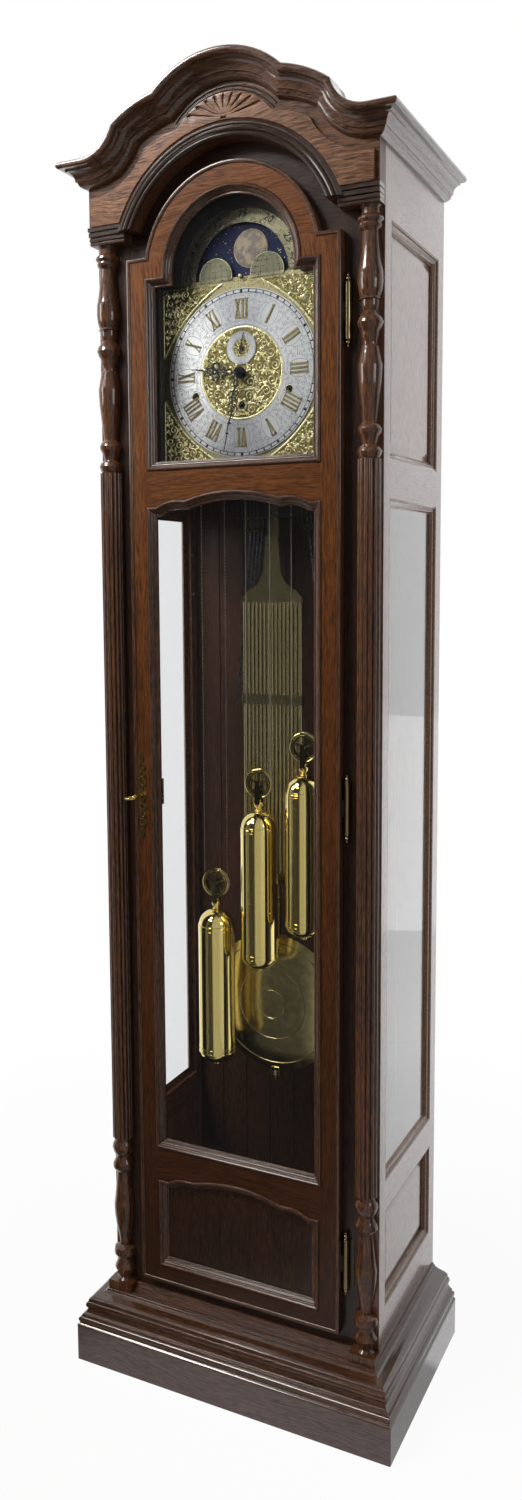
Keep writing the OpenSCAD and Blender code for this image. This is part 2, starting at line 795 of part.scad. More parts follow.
// Frame that closes the gap between the dial and the face frame
module dial_surround() {
    color("#20120d")
        slab(dial_d - 5, case_d - face_t)
            difference() {
                translate([-inner, seat_top - 14])
                    square([2 * inner, case_top - 10 - seat_top + 14]);
                polygon(dial_line(-fit));
            }
}

// Arched brass plate with the moon opening and the holes for the arbors
module dial_plate() {
    color("#c8a04a")
        slab(dial_d - dial_t, dial_d)
            difference() {
                polygon(dial_line(0));
                intersection() {
                    translate([0, moon_z]) circle(moon_opening_r);
                    translate([-moon_opening_r, moon_z])
                        square([2 * moon_opening_r, moon_opening_r + 1]);
                }
                translate([0, moon_z]) circle(3.2);
                translate([0, dial_z]) circle(7);
                translate([0, escape_z]) circle(3);
                for (w = winding) translate(w) circle(winding_hole_r);
            }
}

// Silvered rings for the hours and for the seconds
module chapter_rings() {
    color("#d9d8d4") {
        slab(dial_d, dial_d + 1.5)
            difference() {
                translate([0, dial_z]) circle(chapter_r, $fn = 128);
                translate([0, dial_z]) circle(chapter_inner_r, $fn = 96);
                for (w = winding) translate(w) circle(winding_hole_r);
            }
        slab(dial_d + 1, dial_d + 2.2)
            translate([0, escape_z])
                difference() {
                    circle(seconds_r);
                    circle(seconds_inner_r);
                }
    }
}

// Gilt disc inside the chapter ring
module centre_disc() {
    color("#d2a94c")
        slab(dial_d, dial_d + 1)
            difference() {
                translate([0, dial_z]) circle(chapter_inner_r - fit, $fn = 96);
                translate([0, dial_z]) circle(7);
                translate([0, escape_z]) circle(3);
                for (w = winding) translate(w) circle(winding_hole_r);
            }
}

// Four gilt corner pieces outside the chapter ring
module spandrels() {
    reach = dial_half - 3;
    color("#d9b055")
        slab(dial_d, dial_d + 2)
            translate([0, dial_z])
                for (k = [0:3])
                    rotate(90 * k)
                        difference() {
                            translate([26, 26]) square(reach - 26);
                            circle(chapter_r + 2, $fn = 128);
                        }
}

// Numbered arc over the moon and the two humps that hide it
module lunar_arch() {
    color("#cfa64e") {
        slab(dial_d, dial_d + 1)
            intersection() {
                translate([0, moon_z])
                    difference() {
                        circle(dial_arch_r - 2, $fn = 96);
                        circle(moon_opening_r);
                    }
                translate([-dial_arch_r, moon_z + 1]) square([2 * dial_arch_r, dial_arch_r]);
            }
        both_sides()
            slab(dial_d, dial_d + 1.2)
                intersection() {
                    translate([hump_x, moon_z + 3]) circle(hump_r);
                    translate([hump_x - hump_r, moon_z - 4]) square([2 * hump_r, 50]);
                }
    }
}

// Disc with two painted moons, turning on a stud behind the arch
module moon_disc() {
    color("#1c3a6b")
        difference() {
            union() {
                peg(0, moon_z, moon_disc_r, dial_d - dial_t - 3.5, dial_d - dial_t - 2);
                peg(0, moon_z, 6, front_plate_d + plate_t + fit, dial_d - dial_t - 3);
                peg(0, moon_z, 2.6, dial_d - dial_t - 3, dial_d + 2);
            }
            peg(0, moon_z, 1.5 + run, front_plate_d, dial_d);
        }
}

// Plates of the movement with their pillars, dial feet, moon stud and pendulum cock
module movement_frame() {
    top = swing_z + 19;
    post_x = winding_x + 9;
    rear = rear_plate_d + plate_t;
    front = front_plate_d + plate_t;
    module plate_holes() {
        for (w = winding) translate(w) circle(arbor_r + run);
        for (z = [dial_z, escape_z, swing_z]) translate([0, z]) circle(2 + run);
    }
    color("#b8923f") {
        difference() {
            union() {
                slab(rear_plate_d, rear)
                    translate([-plate_half, seat_top]) square([2 * plate_half, top - seat_top]);
                both_sides()
                    box(18, 22, pendulum_d - 13, rear_plate_d + 1, swing_z - 6, swing_z + 6);
                box(-22, 22, pendulum_d - 13, pendulum_d - 9, swing_z - 6, swing_z + 6);
                peg(0, swing_z, 1.5, pendulum_d - 10, pendulum_d + 7);
            }
            slab(rear_plate_d - 1, rear + 1) plate_holes();
        }
        slab(front_plate_d, front)
            difference() {
                union() {
                    translate([-plate_half, seat_top]) square([2 * plate_half, top - seat_top]);
                    translate([-9, top - 1]) square([18, moon_z - top + 10]);
                }
                plate_holes();
            }
        for (x = [-post_x, post_x], z = [seat_top + 14, swing_z + 6]) {
            peg(x, z, 6, rear, front_plate_d);
            peg(x, z + (z > dial_z ? -12 : 12), 3, front, dial_d - dial_t);
        }
        peg(0, moon_z, 1.5, front, dial_d - 1);
        peg(motion_x, motion_z, 1.5, front, motion_d + 2 * motion_t + 1);
    }
}

// Slender outline of a hand pointing up, with one or two open loops
module hand_outline(l, loops, hub, hole) {
    difference() {
        union() {
            circle(hub);
            polygon([[-1.6, 0], [-0.9, l * 0.7], [0, l], [0.9, l * 0.7], [1.6, 0]]);
            for (p = loops) translate([0, p[0]]) circle(p[1]);
        }
        circle(hole);
        for (p = loops) translate([0, p[0]]) circle(p[1] * 0.6);
    }
}
module hour_hand() {
    d = dial_d + 8;
    color("#15120f")
        difference() {
            union() {
                gear(0, dial_z, hour_teeth, hour_pitch_r,
                    motion_angle + 180 / hour_teeth, motion_d + motion_t + 0.6,
                    motion_d + 2 * motion_t + 0.6);
                peg(0, dial_z, 4.6, motion_d + 2 * motion_t, d + 1);
                slab(d, d + 1.5)
                    translate([0, dial_z])
                        rotate(-hour_angle)
                            hand_outline(hour_hand_l, [[20, 6], [38, 7.5], [54, 5]], 8, 3);
            }
            peg(0, dial_z, 3 + run, motion_d, d + 3);
        }
}
module minute_hand() {
    d = dial_d + 14;
    color("#15120f") {
        peg(0, dial_z, 2, rear_plate_d + 0.5, d + 5);
        gear(0, dial_z, cannon_teeth, cannon_pitch_r, motion_angle, motion_d, motion_d + motion_t);
        peg(0, dial_z, 3, motion_d, d + 1);
        slab(d, d + 1.5)
            translate([0, dial_z])
                rotate(-minute_angle)
                    hand_outline(minute_hand_l, [[22, 5.5], [40, 6.5], [58, 4.5]], 6, 1.9);
        peg(0, dial_z, 4.2, d + 1.5, d + 5);
    }
}
// Wheel and pinion between the minute arbor and the hour wheel
module minute_wheel() {
    color("#c29a45")
        difference() {
            union() {
                gear(motion_x, motion_z, minute_teeth, minute_pitch_r,
                    motion_angle + 180 + 180 / minute_teeth, motion_d, motion_d + motion_t);
                gear(motion_x, motion_z, pinion_teeth, pinion_pitch_r, motion_angle + 180,
                    motion_d + motion_t - 0.5, motion_d + 2 * motion_t + 0.6);
            }
            peg(motion_x, motion_z, 1.5 + run, motion_d - 1, motion_d + 2 * motion_t + 2);
        }
}
module seconds_hand() {
    d = dial_d + 3.5;
    color("#15120f")
        slab(d, d + 0.8)
            translate([0, escape_z])
                rotate(-second_angle)
                    polygon(both_halves([[0, -9], [1.5, -9], [1, -3], [2.3, -1.6], [2.8, 0],
                        [2.3, 1.6], [1, 3], [0.5, seconds_r - 4], [0, seconds_r - 1]]));
}
// Wheel of thirty pointed teeth on the arbor that carries the seconds hand
module escape_wheel() {
    teeth = 30;
    step = 360 / teeth;
    color("#c29a45") {
        slab(weight_d - 14, weight_d - 11.5)
            translate([0, escape_z])
                polygon([for (i = [0:teeth - 1], p = [[0, 0], [0.25, 3.4], [0.9, 3.4]])
                    let (a = 90 + (i + 0.45 + p[0]) * step) (escape_r - p[1]) * [cos(a), sin(a)]]);
        peg(0, escape_z, 2, rear_plate_d + 0.5, front_plate_d + plate_t);
        peg(0, escape_z, 1.5, front_plate_d + plate_t, dial_d + 3.5);
    }
}

// Anchor and its arbor, with the crutch that reaches down behind the plate to the rod
module anchor() {
    tip = (escape_r + 1.6) * [0.87, 0.5];
    drop = escape_z - swing_z;
    crutch_l = 95;
    color("#8f8f92") {
        peg(0, swing_z, 2, pendulum_d + 9, front_plate_d + plate_t - 0.5);
        slab(weight_d - 14, weight_d - 11.5)
            translate([0, swing_z]) {
                circle(5);
                for (s = [-1, 1])
                    polygon([[0, 4], [s * (tip[0] + 3), drop + tip[1] + 6],
                        [s * (tip[0] + 1.5), drop + tip[1]], [s * tip[0], drop + tip[1]],
                        [s * (tip[0] - 3), drop + tip[1] + 7], [0, -3]]);
            }
        box(-4, 4, pendulum_d + 9, pendulum_d + 12, swing_z - crutch_l, swing_z + 5);
        box(-14, 14, pendulum_d + 9, pendulum_d + 12, swing_z - crutch_l - 6,
            swing_z - crutch_l + 6);
        both_sides()
            box(10 + fit, 13, pendulum_d - 4, pendulum_d + 10, swing_z - crutch_l - 4,
                swing_z - crutch_l + 4);
    }
}

// Steel rod hung by its eye from the cock, with the rating nut under the bob
module pendulum_rod() {
    end = swing_z - pendulum_l - bob_r;
    color("#9a7b3c") {
        slab(pendulum_d - 3, pendulum_d + 3)
            difference() {
                union() {
                    translate([0, swing_z]) circle(7);
                    translate([-4, swing_z - 40]) square([8, 40]);
                    translate([-10, end + 4]) square([20, pendulum_l + bob_r - 42]);
                }
                translate([0, swing_z]) circle(1.5 + run);
            }
        translate([0, at(pendulum_d), end - 22]) {
            cylinder(r = 2, h = 27);
            difference() {
                translate([0, 0, 12.7]) cylinder(r = 9, h = 9);
                translate([0, 0, 12]) cylinder(r = 2 + run, h = 11);
            }
        }
    }
}
// Brass grid in front of the rod: a flared head, fifteen tubes and two crossbars
module pendulum_grid() {
    top = swing_z - grid_drop;
    d = pendulum_d + 3;
    tubes = 15;
    pitch = 2 * (grid_half - 5) / (tubes - 1);
    color("#b79a52") {
        slab(d, d + 5)
            polygon(both_halves(concat([[grid_half, top - 12], [grid_half, top]],
                arc([grid_half + 4, top + 54], 44, 250, 195, 5),
                [[11, top + 100], [0, top + 100]])));
        for (z = [top - 173, top - grid_h])
            box(-grid_half, grid_half, d, d + 8, z, z + 17);
        for (i = [0:tubes - 1])
            translate([(i - (tubes - 1) / 2) * pitch, at(d + 3.5), top - grid_h])
                cylinder(r = pitch / 2 - 0.3, h = grid_h - 6, $fn = 24);
    }
}
// Lens-shaped brass bob, slotted for the rod
module pendulum_bob() {
    z = swing_z - pendulum_l;
    rim = 3;
    rise = bob_t / 2 - rim;
    r = (bob_r * bob_r + rise * rise) / (2 * rise);
    face = [for (i = [0:8]) let (x = bob_r * i / 8) [x, rim + sqrt(r * r - x * x) - r + rise]];
    color("#d0a548")
        difference() {
            translate([0, at(pendulum_d), z])
                rotate([90, 0, 0])
                    rotate_extrude($fn = 96)
                        polygon(concat(face, [for (i = [8:-1:0]) [face[i][0], -face[i][1]]]));
            box(-10 - fit, 10 + fit, pendulum_d - 3 - fit, pendulum_d + 3 + fit,
                z - bob_r - 1, z + bob_r + 1);
        }
}

// Drum with its great wheel, on an arbor that ends in the winding square
module drum(i) {
    x = winding[i][0];
    z = winding[i][1];
    r = cable_wrap_r - cable_t / 2 - 0.1;
    color("#c8a04a") {
        peg(x, z, arbor_r, rear_plate_d + 0.5, front_plate_d + plate_t + 2);
        peg(x, z, r, weight_d - 20, weight_d + 20);
        peg(x, z, r + 4, weight_d - 20, weight_d - 18);
        peg(x, z, r + 4, weight_d + 18, weight_d + 20);
        gear(x, z, 60, great_wheel_r, 0, rear_plate_d + plate_t + 5, rear_plate_d + plate_t + 8);
        translate([x, at(front_plate_d + plate_t + 2), z])
            rotate([90, 0, 0])
                cylinder(r = 3.2, h = dial_d - front_plate_d - plate_t - 2.2, $fn = 4);
    }
}
module drum_left() { drum(0); }
module drum_middle() { drum(1); }
module drum_right() { drum(2); }

// Length of the stirrup from the pulley axle to the top of the weight
hang = 43.5;

// Brass shell with domed ends under the stirrup that holds its pulley
module weight(i) {
    x = winding[i][0];
    z = pulley_z[i];
    dome = weight_dome;
    foot = weight_foot;
    r = weight_r;
    color("#dcb04c")
        translate([x, at(weight_d), z - hang - dome - weight_h])
            rotate_extrude()
                polygon(concat(
                    [[0, -foot - 4], [4, -foot - 4], [5, -foot - 3], [5, -foot]],
                    [for (a = [-80:10:-10]) [(r - 1) * cos(a), foot * sin(a)]],
                    [[r - 1, 0], [r, 1.5], [r, weight_h - 2], [r - 1, weight_h]],
                    [for (a = [10:10:80]) [(r - 1) * cos(a), weight_h + dome * sin(a)]],
                    [[4, weight_h + dome], [0, weight_h + dome]]));
    color("#c09a44")
        translate([x, at(weight_d), z]) {
            for (s = [-1, 1])
                translate([-4, s > 0 ? 5.5 : -7, -31]) cube([8, 1.5, 36]);
            translate([-4, -7, -34]) cube([8, 14, 4]);
            translate([0, 0, -hang]) cylinder(r = 3, h = hang - 33);
            translate([0, 7, 0]) rotate([90, 0, 0]) cylinder(r = 2, h = 14);
        }
}
module weight_left() { weight(0); }
module weight_middle() { weight(1); }
module weight_right() { weight(2); }

// Grooved pulley with five spokes
module pulley(i) {
    rim = cable_wrap_r + 2.5;
    floor_r = cable_wrap_r - cable_t / 2 - groove_clear;
    color("#c8a04a")
        translate([winding[i][0], at(weight_d), pulley_z[i]])
            rotate([90, 0, 0])
                difference() {
                    union() {
                        rotate_extrude()
                            polygon([[floor_r - 3, -3.5], [rim, -3.5], [rim, -3],
                                [floor_r, -1.2], [floor_r, 1.2], [rim, 3], [rim, 3.5],
                                [floor_r - 3, 3.5]]);
                        translate([0, 0, -5.2]) cylinder(r = 5, h = 10.4);
                        for (k = [0:4])
                            rotate(k * 72 + 18) translate([0, -1.5, -1.5])
                                cube([floor_r - 2, 3, 3]);
                    }
                    translate([0, 0, -6]) cylinder(r = 2 + run, h = 12);
                }
}
module pulley_left() { pulley(0); }
module pulley_middle() { pulley(1); }
module pulley_right() { pulley(2); }

// Cable from the drum down round the pulley and up to its pin on the seat board
module cable(i) {
    x = winding[i][0];
    z = pulley_z[i];
    function ring(cx, cz, a) =
        [for (k = [0:7])
            [cx + cable_t / 2 * cos(45 * k) * cos(a), at(weight_d) + cable_t / 2 * sin(45 * k),
                cz + cable_t / 2 * cos(45 * k) * sin(a)]];
    color("#b9b4a6")
        loft(concat(
            [ring(x - cable_wrap_r, winding[i][1], 180)],
            [for (a = [180:15:360])
                ring(x + cable_wrap_r * cos(a), z + cable_wrap_r * sin(a), a)],
            [ring(x + cable_wrap_r, seat_top, 0)]
        ));
}
module cable_left() { cable(0); }
module cable_middle() { cable(1); }
module cable_right() { cable(2); }

// Iron block on the back panel that holds the chime rods and the hammer arbor
chime_left_x = -79;
chime_right_x = 23;
chime_tilt = 5.5;
chime_z = seat_z - 20;
module chime_block() {
    color("#3a3a3c") {
        box(-60, -40, 2 + back_t, chime_d - 16, chime_z - 24, chime_z - 4);
        box(10, 30, 2 + back_t, chime_d - 16, chime_z - 24, chime_z - 4);
        box(-96, 64, chime_d - 16, chime_d + 14, chime_z - 28, chime_z);
        difference() {
            for (x = [-96, 60])
                box(x, x + 4, chime_d + 2, chime_d + hammer_out + 8, chime_z - 28,
                    chime_z + hammer_up + 8);
            translate([-100, at(chime_d + hammer_out), chime_z + hammer_up])
                rotate([0, 90, 0]) cylinder(r = 2 + run, h = 170);
        }
    }
}
// Eight steel rods that fan out under the block
module chime_rods() {
    color("#39414f")
        for (i = [0:3]) {
            translate([chime_left_x + chime_pitch * i, at(chime_d), chime_z - 18])
                rotate([0, 180 + chime_tilt, 0])
                    cylinder(r = chime_rod_r, h = chime_left_l - chime_left_step * i);
            translate([chime_right_x + chime_pitch * i, at(chime_d), chime_z - 18])
                rotate([0, 180 - chime_tilt, 0])
                    cylinder(r = chime_rod_r, h = chime_right_l - chime_right_step * i);
        }
}
// Hammers on one arbor, a head for each rod
module hammers() {
    z = chime_z + hammer_up;
    d = chime_d + hammer_out;
    color("#8a6a35") {
        translate([-95.5, at(d), z]) rotate([0, 90, 0]) cylinder(r = 2, h = 159);
        for (i = [0:3], x = [chime_left_x - 1, chime_right_x + 1]) {
            translate([x + chime_pitch * i, at(d), z - hammer_l]) cylinder(r = 1.2, h = hammer_l);
            peg(x + chime_pitch * i, z - hammer_l, 3.2, d - 12, d + 8);
        }
    }
}

// Place of the keyhole, and heights of the three hinges
key_x = -(door_half - keyhole_in);
key_z = door_z + keyhole_h;
hinges = [door_z + hinge_low, door_z + hinge_middle, door_top - hinge_high];
leaf_t = 1.4;
knuckle = 12.8;

// Three fixed leaves on the face frame, each with two knuckles
module hinge_leaves_case() {
    color("#c79f4b")
        for (z = hinges) {
            for (s = [0, 1])
                translate([hinge_x, at(hinge_d), z + (s > 0 ? knuckle + 0.2 : -barrel_l / 2)])
                    difference() {
                        union() {
                            cylinder(r = barrel_r, h = barrel_l / 2 - knuckle - 0.2);
                            translate([-1.5, 0, 0])
                                cube([3, hinge_d - case_d, barrel_l / 2 - knuckle - 0.2]);
                        }
                        translate([0, 0, -1]) cylinder(r = 1.5 + run, h = barrel_l);
                    }
            box(hinge_x - 3, hinge_x + 11.5, case_d, case_d + leaf_t,
                z - barrel_l / 2, z + barrel_l / 2);
        }
}
// Pins of the hinges with a turned finial at each end
module hinge_pins() {
    color("#d0a850")
        for (z = hinges, s = [0, 1])
            translate([hinge_x, at(hinge_d), z])
                mirror([0, 0, s]) {
                    cylinder(r = 1.5, h = barrel_l / 2 + 1);
                    translate([0, 0, barrel_l / 2])
                        rotate_extrude()
                            polygon([[0, 0], [4.6, 0], [4.6, 1.2], [3, 2], [2.4, 3.2], [3.6, 4.6],
                                [4, 6], [3.4, 7.6], [1.8, 8.8], [1.4, 9.8], [2, 10.8],
                                [1.6, 12.2], [0, finial_l]]);
                }
}
// Three moving leaves on the door edge, each with one knuckle
module hinge_leaves_door() {
    color("#c79f4b")
        for (z = hinges) {
            translate([hinge_x, at(hinge_d), z - knuckle])
                difference() {
                    union() {
                        cylinder(r = barrel_r, h = 2 * knuckle);
                        translate([door_half - hinge_x + leaf_t / 2, -1.5, 0])
                            cube([hinge_out - leaf_t / 2, 3, 2 * knuckle]);
                    }
                    translate([0, 0, -1]) cylinder(r = 1.5 + run, h = 2 * knuckle + 2);
                }
            box(door_half, door_half + leaf_t, door_back + 1, door_front - 1,
                z - barrel_l / 2, z + barrel_l / 2);
        }
}

// Stiles and rails of the door with two windows and the opening for the panel
module door_frame() {
    color("#4a291a")
        slab(door_back, door_front)
            difference() {
                polygon(door_line(0));
                polygon(dial_window_line(0));
                polygon(trunk_window_line(0));
                polygon(door_panel_line(0));
                translate([key_x, key_z]) circle(2.8);
            }
}

// Section of the window mouldings: share of the width, and height over the door face
window_section = [
    [0, -9], [0, 0.4], [0.05, 1.6], [0.15, 2.5], [0.27, 2.3], [0.36, 0.7], [0.38, -0.6],
    [0.46, -0.8], [0.54, -1.8], [0.66, -4.6], [0.77, -6.2], [0.88, -5.8], [0.96, -6.4],
    [1, -7.4], [1, -9]
];
edge_section = [[0, 0], [0, 0.8], [0.15, 1.6], [0.5, 2], [0.85, 1.6], [1, 0.5], [1, 0]];
// Beads round the door edge, and the mouldings that hold the panes and the panel
module door_mouldings() {
    function depth(h) = h > -9 ? door_front + h : glass_front;
    depths = [for (p = window_section) depth(p[1])];
    color("#3e2217") {
        trim([for (p = window_section) dial_window_line(p[0] * window_moulding_w)], depths);
        trim([for (p = window_section) trunk_window_line(p[0] * window_moulding_w)], depths);
        trim([for (p = window_section) door_panel_line(p[0] * window_moulding_w)],
            [for (p = window_section) max(depth(p[1]), glass_front + 2)]);
        trim([for (p = edge_section) door_line(p[0] * edge_bead_w)],
            [for (p = edge_section) door_front + p[1]]);
    }
}
module dial_glass() {
    color([0.85, 0.88, 0.88, 0.25])
        slab(door_back + 1, glass_front) polygon(dial_window_line(fit));
}
module trunk_glass() {
    color([0.85, 0.88, 0.88, 0.25])
        slab(door_back + 1, glass_front) polygon(trunk_window_line(fit));
}
// Panel at the foot of the door, its raised field shaped like the opening
module door_panel() {
    lines = [door_panel_line(18), door_panel_line(18), door_panel_line(28)];
    depths = [glass_front - 1, glass_front + 2, glass_front + 5];
    color("#553020") {
        slab(door_back + 2, glass_front + 2) polygon(door_panel_line(fit));
        loft([for (k = [0:2]) [for (p = lines[k]) [p[0], at(depths[k]), p[1]]]]);
    }
}

// Pierced plate round the keyhole
module escutcheon() {
    color("#d8ad4e")
        slab(door_front, door_front + 1.5)
            translate([key_x, key_z])
                difference() {
                    union() {
                        circle(8);
                        for (s = [-1, 1]) {
                            translate([0, s * 20]) circle(7);
                            translate([0, s * 32]) circle(6);
                            translate([0, s * 45]) circle(6.5);
                            polygon([[-4, s * 46], [-2, s * 57], [-4.5, s * 61],
                                [0, s * escutcheon_l / 2], [4.5, s * 61], [2, s * 57],
                                [4, s * 46]]);
                        }
                        translate([-1.5, -50]) square([3, 100]);
                    }
                    for (s = [-1, 1]) {
                        translate([0, s * 20]) circle(3.5);
                        translate([0, s * 32]) circle(2.8);
                        translate([0, s * 45]) circle(3.2);
                    }
                    circle(3);
                    translate([-1.5, -7]) square([3, 7]);
                }
}
// Box of the lock on the back of the door, open behind
module lock_case() {
    x0 = key_x - 7;
    x1 = key_x + 15.5;
    d0 = door_back - 28;
    color("#b08d45")
        difference() {
            box(x0, x1, d0, door_back, key_z - 21, key_z + 21);
            box(x0 + 1.5, x1 - 1.5, d0 - 1, d0 + 14, key_z - 12, key_z + 12);
            box(x0 - 1, x0 + 2, d0 + 0.3, d0 + 6.3, key_z - 6.3, key_z + 6.3);
            peg(key_x, key_z, 2.55, d0, door_back + 1);
        }
}
module lock_bolt() {
    d0 = door_back - 27.2;
    color("#8f8f92") {
        box(key_x + 5, key_x + 13, d0, d0 + 5, key_z - 11.5, key_z + 11.5);
        box(key_x - 6.5, key_x + 6, d0, d0 + 5, key_z - 6, key_z + 6);
    }
}
// Key with its bit in the lock and its ring outside the door
module door_key() {
    end = door_front + 27;
    color("#8a7a55") {
        peg(key_x, key_z, 2.5, door_back - 20.8, end);
        box(key_x, key_x + 8, door_back - 20.4, door_back - 15.4, key_z - 1, key_z + 1);
        peg(key_x, key_z, 3.6, door_front + 20, door_front + 23);
        translate([key_x, at(end + 8), key_z])
            rotate_extrude() translate([8, 0]) circle(1.6, $fn = 32);
    }
}

plinth();
case_boards();
base_board();
base_moulding();
side_frame_left();
side_frame_right();
side_panels();
side_glasses();
back_panel();
face_frame();
columns();
frieze();
frieze_overlay();
arch_moulding();
crown();
seat_board();
dial_surround();
dial_plate();
chapter_rings();
centre_disc();
spandrels();
lunar_arch();
movement_frame();
chime_block();
chime_rods();
hinge_leaves_case();
hinge_pins();
door_frame();
door_mouldings();
dial_glass();
trunk_glass();
door_panel();
hinge_leaves_door();
escutcheon();
lock_case();
lock_bolt();
door_key();
hour_hand();
minute_hand();
minute_wheel();
seconds_hand();
escape_wheel();
moon_disc();
anchor();
pendulum_rod();
pendulum_grid();
pendulum_bob();
hammers();
drum_left();
drum_middle();
drum_right();
weight_left();
weight_middle();
weight_right();
pulley_left();
pulley_middle();
pulley_right();
cable_left();
cable_middle();
cable_right();
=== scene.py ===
import bmesh
import bpy
from math import asin, atan2, cos, exp, hypot, pi, radians, sin, sqrt, tau
from mathutils import Matrix, Vector
from random import Random


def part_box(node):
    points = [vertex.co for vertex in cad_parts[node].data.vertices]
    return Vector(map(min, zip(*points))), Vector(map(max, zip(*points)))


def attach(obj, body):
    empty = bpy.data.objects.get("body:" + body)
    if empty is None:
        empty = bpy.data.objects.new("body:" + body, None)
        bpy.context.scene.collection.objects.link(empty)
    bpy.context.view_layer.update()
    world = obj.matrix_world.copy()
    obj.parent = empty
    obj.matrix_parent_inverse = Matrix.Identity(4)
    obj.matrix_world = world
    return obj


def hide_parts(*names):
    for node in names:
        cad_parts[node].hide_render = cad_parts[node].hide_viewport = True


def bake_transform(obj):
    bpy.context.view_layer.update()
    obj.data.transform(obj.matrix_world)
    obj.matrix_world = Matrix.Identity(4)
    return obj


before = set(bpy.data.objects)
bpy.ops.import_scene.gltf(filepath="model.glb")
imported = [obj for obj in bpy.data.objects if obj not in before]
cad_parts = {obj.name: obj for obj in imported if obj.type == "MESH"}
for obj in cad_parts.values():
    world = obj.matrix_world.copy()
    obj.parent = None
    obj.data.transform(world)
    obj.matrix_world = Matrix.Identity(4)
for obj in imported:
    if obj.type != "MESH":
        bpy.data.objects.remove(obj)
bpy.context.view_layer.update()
CLOCK = dict(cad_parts)

# Camera: it stands at head height, a step to the right of the clock and level with the middle
# of the trunk, turned 26 degrees to the left and a little down, as in the photograph.
PHOTO_LONG_SIDE, FOCAL_PIXELS, RISE_PIXELS = 1500, 1135.62, -49.61
eye = Vector((0.78687, -1.64910, 1.29855))
turn, tilt, roll = radians(25.80), radians(5.83), radians(-0.29)
ahead = Vector((-sin(turn) * cos(tilt), cos(turn) * cos(tilt), -sin(tilt)))
level = Vector((cos(turn), sin(turn), 0))
upright = level.cross(ahead)
right = level * cos(roll) + upright * sin(roll)
up = upright * cos(roll) - level * sin(roll)
lens = bpy.data.cameras.new("photo_lens")
lens.sensor_width = 36
lens.lens = FOCAL_PIXELS * lens.sensor_width / PHOTO_LONG_SIDE
lens.shift_y = RISE_PIXELS / PHOTO_LONG_SIDE
lens.clip_start = 0.05


def added(name, data):
    """Puts an object with this data into the scene and returns it."""
    holder = bpy.data.objects.new(name, data)
    bpy.context.scene.collection.objects.link(holder)
    return holder


camera = added("camera", lens)
camera.matrix_world = Matrix((
    (right.x, up.x, -ahead.x, eye.x),
    (right.y, up.y, -ahead.y, eye.y),
    (right.z, up.z, -ahead.z, eye.z),
    (0, 0, 0, 1),
))
bpy.context.scene.camera = camera

# Light: five soft lamps of a photographer. One behind on the right gives the clock's right side
# its pale sheen. Two hooded ones on the left light the top far more than the foot, one high in
# front is aimed at the foot, and a weak one stands far to the right.
bpy.context.scene.view_settings.view_transform = "Standard"


def soft_lamp(name, place, aim, width, height, watts, hood=180, tint=(1, 1, 1)):
    lamp = bpy.data.lights.new(name, "AREA")
    lamp.shape = "RECTANGLE"
    lamp.size, lamp.size_y = width, height
    lamp.energy = watts
    lamp.color = tint
    lamp.spread = radians(hood)
    holder = added(name, lamp)
    holder.location = place
    holder.rotation_euler = (Vector(aim) - Vector(place)).to_track_quat("-Z", "Y").to_euler()
    holder.visible_camera = False


soft_lamp("lamp_above_left", (-0.95, -1.1, 2.75), (0, -0.1, 1.62), 0.75, 0.4, 6.2, 75)
soft_lamp("lamp_left", (-1.75, -1.2, 2.05), (0, -0.1, 1.6), 0.6, 0.8, 2.8, 80)
soft_lamp("lamp_right", (3.0, -1.5, 2.1), (0, -0.1, 1.4), 1.2, 1.0, 2.6, 70)
soft_lamp("lamp_front_high", (-1.44, -2.25, 2.9), (0, -0.3, 0.1), 1.8, 0.3, 4.2, 50, (1, 0.94, 0.87))
soft_lamp("lamp_behind_right", (0.95, 1.65, 1.7), (0.3, 0, 1.3), 2.3, 3.3, 10, tint=(1, 0.975, 0.985))

# Floor and surroundings: a plain white sheet on the ground in a white room. The lens and glass
# see them white. What shines shows a dim room in front of the clock on the left, a pale wall on
# the right and white behind; on matt surfaces the room gives a weak fill.
ROOM_FILL, DIM_ROOM, PALE_WALL, SHEET_GLOW = 0.09, 0.05, 0.52, 0.95


def feed(made, inputs):
    """Sets the inputs of a node to values, or links sockets to them."""
    for key, value in inputs.items():
        if isinstance(value, bpy.types.NodeSocket):
            made.id_data.links.new(value, made.inputs[key])
        else:
            made.inputs[key].default_value = value


def node(tree, kind, inputs=None, **settings):
    """Adds a shader node, sets or links its inputs, and returns it."""
    made = tree.nodes.new("ShaderNode" + kind)
    for name, value in settings.items():
        setattr(made, name, value)
    feed(made, inputs or {})
    return made


def sums(operation, *values):
    """Adds a Math node on sockets and numbers and returns its output."""
    tree = next(value.id_data for value in values if isinstance(value, bpy.types.NodeSocket))
    return node(tree, "Math", dict(enumerate(values)), operation=operation).outputs[0]


def spread(value, low, high, to_low=0.0, to_high=1.0):
    """Maps a socket between low and high, clamped, to another span."""
    inputs = {0: value, 1: low, 2: high, 3: to_low, 4: to_high}
    return node(value.id_data, "MapRange", inputs).outputs[0]


def effect(name, takes, gives):
    """Starts a node group; takes gives the default of each input, and gives names the outputs."""
    tree = bpy.data.node_groups.new(name, "ShaderNodeTree")
    for title, value in takes.items():
        kind = {3: "Vector", 4: "Color"}[len(value)] if isinstance(value, tuple) else "Float"
        socket = tree.interface.new_socket(name=title, in_out="INPUT", socket_type="NodeSocket" + kind)
        socket.default_value = value
    for title in gives:
        kind = "Color" if title == "Color" else "Float"
        tree.interface.new_socket(name=title, in_out="OUTPUT", socket_type="NodeSocket" + kind)
    return tree, tree.nodes.new("NodeGroupInput").outputs, tree.nodes.new("NodeGroupOutput")


def use(tree, group, inputs):
    """Places a node group in a material and returns its outputs."""
    return node(tree, "Group", inputs, node_tree=group).outputs


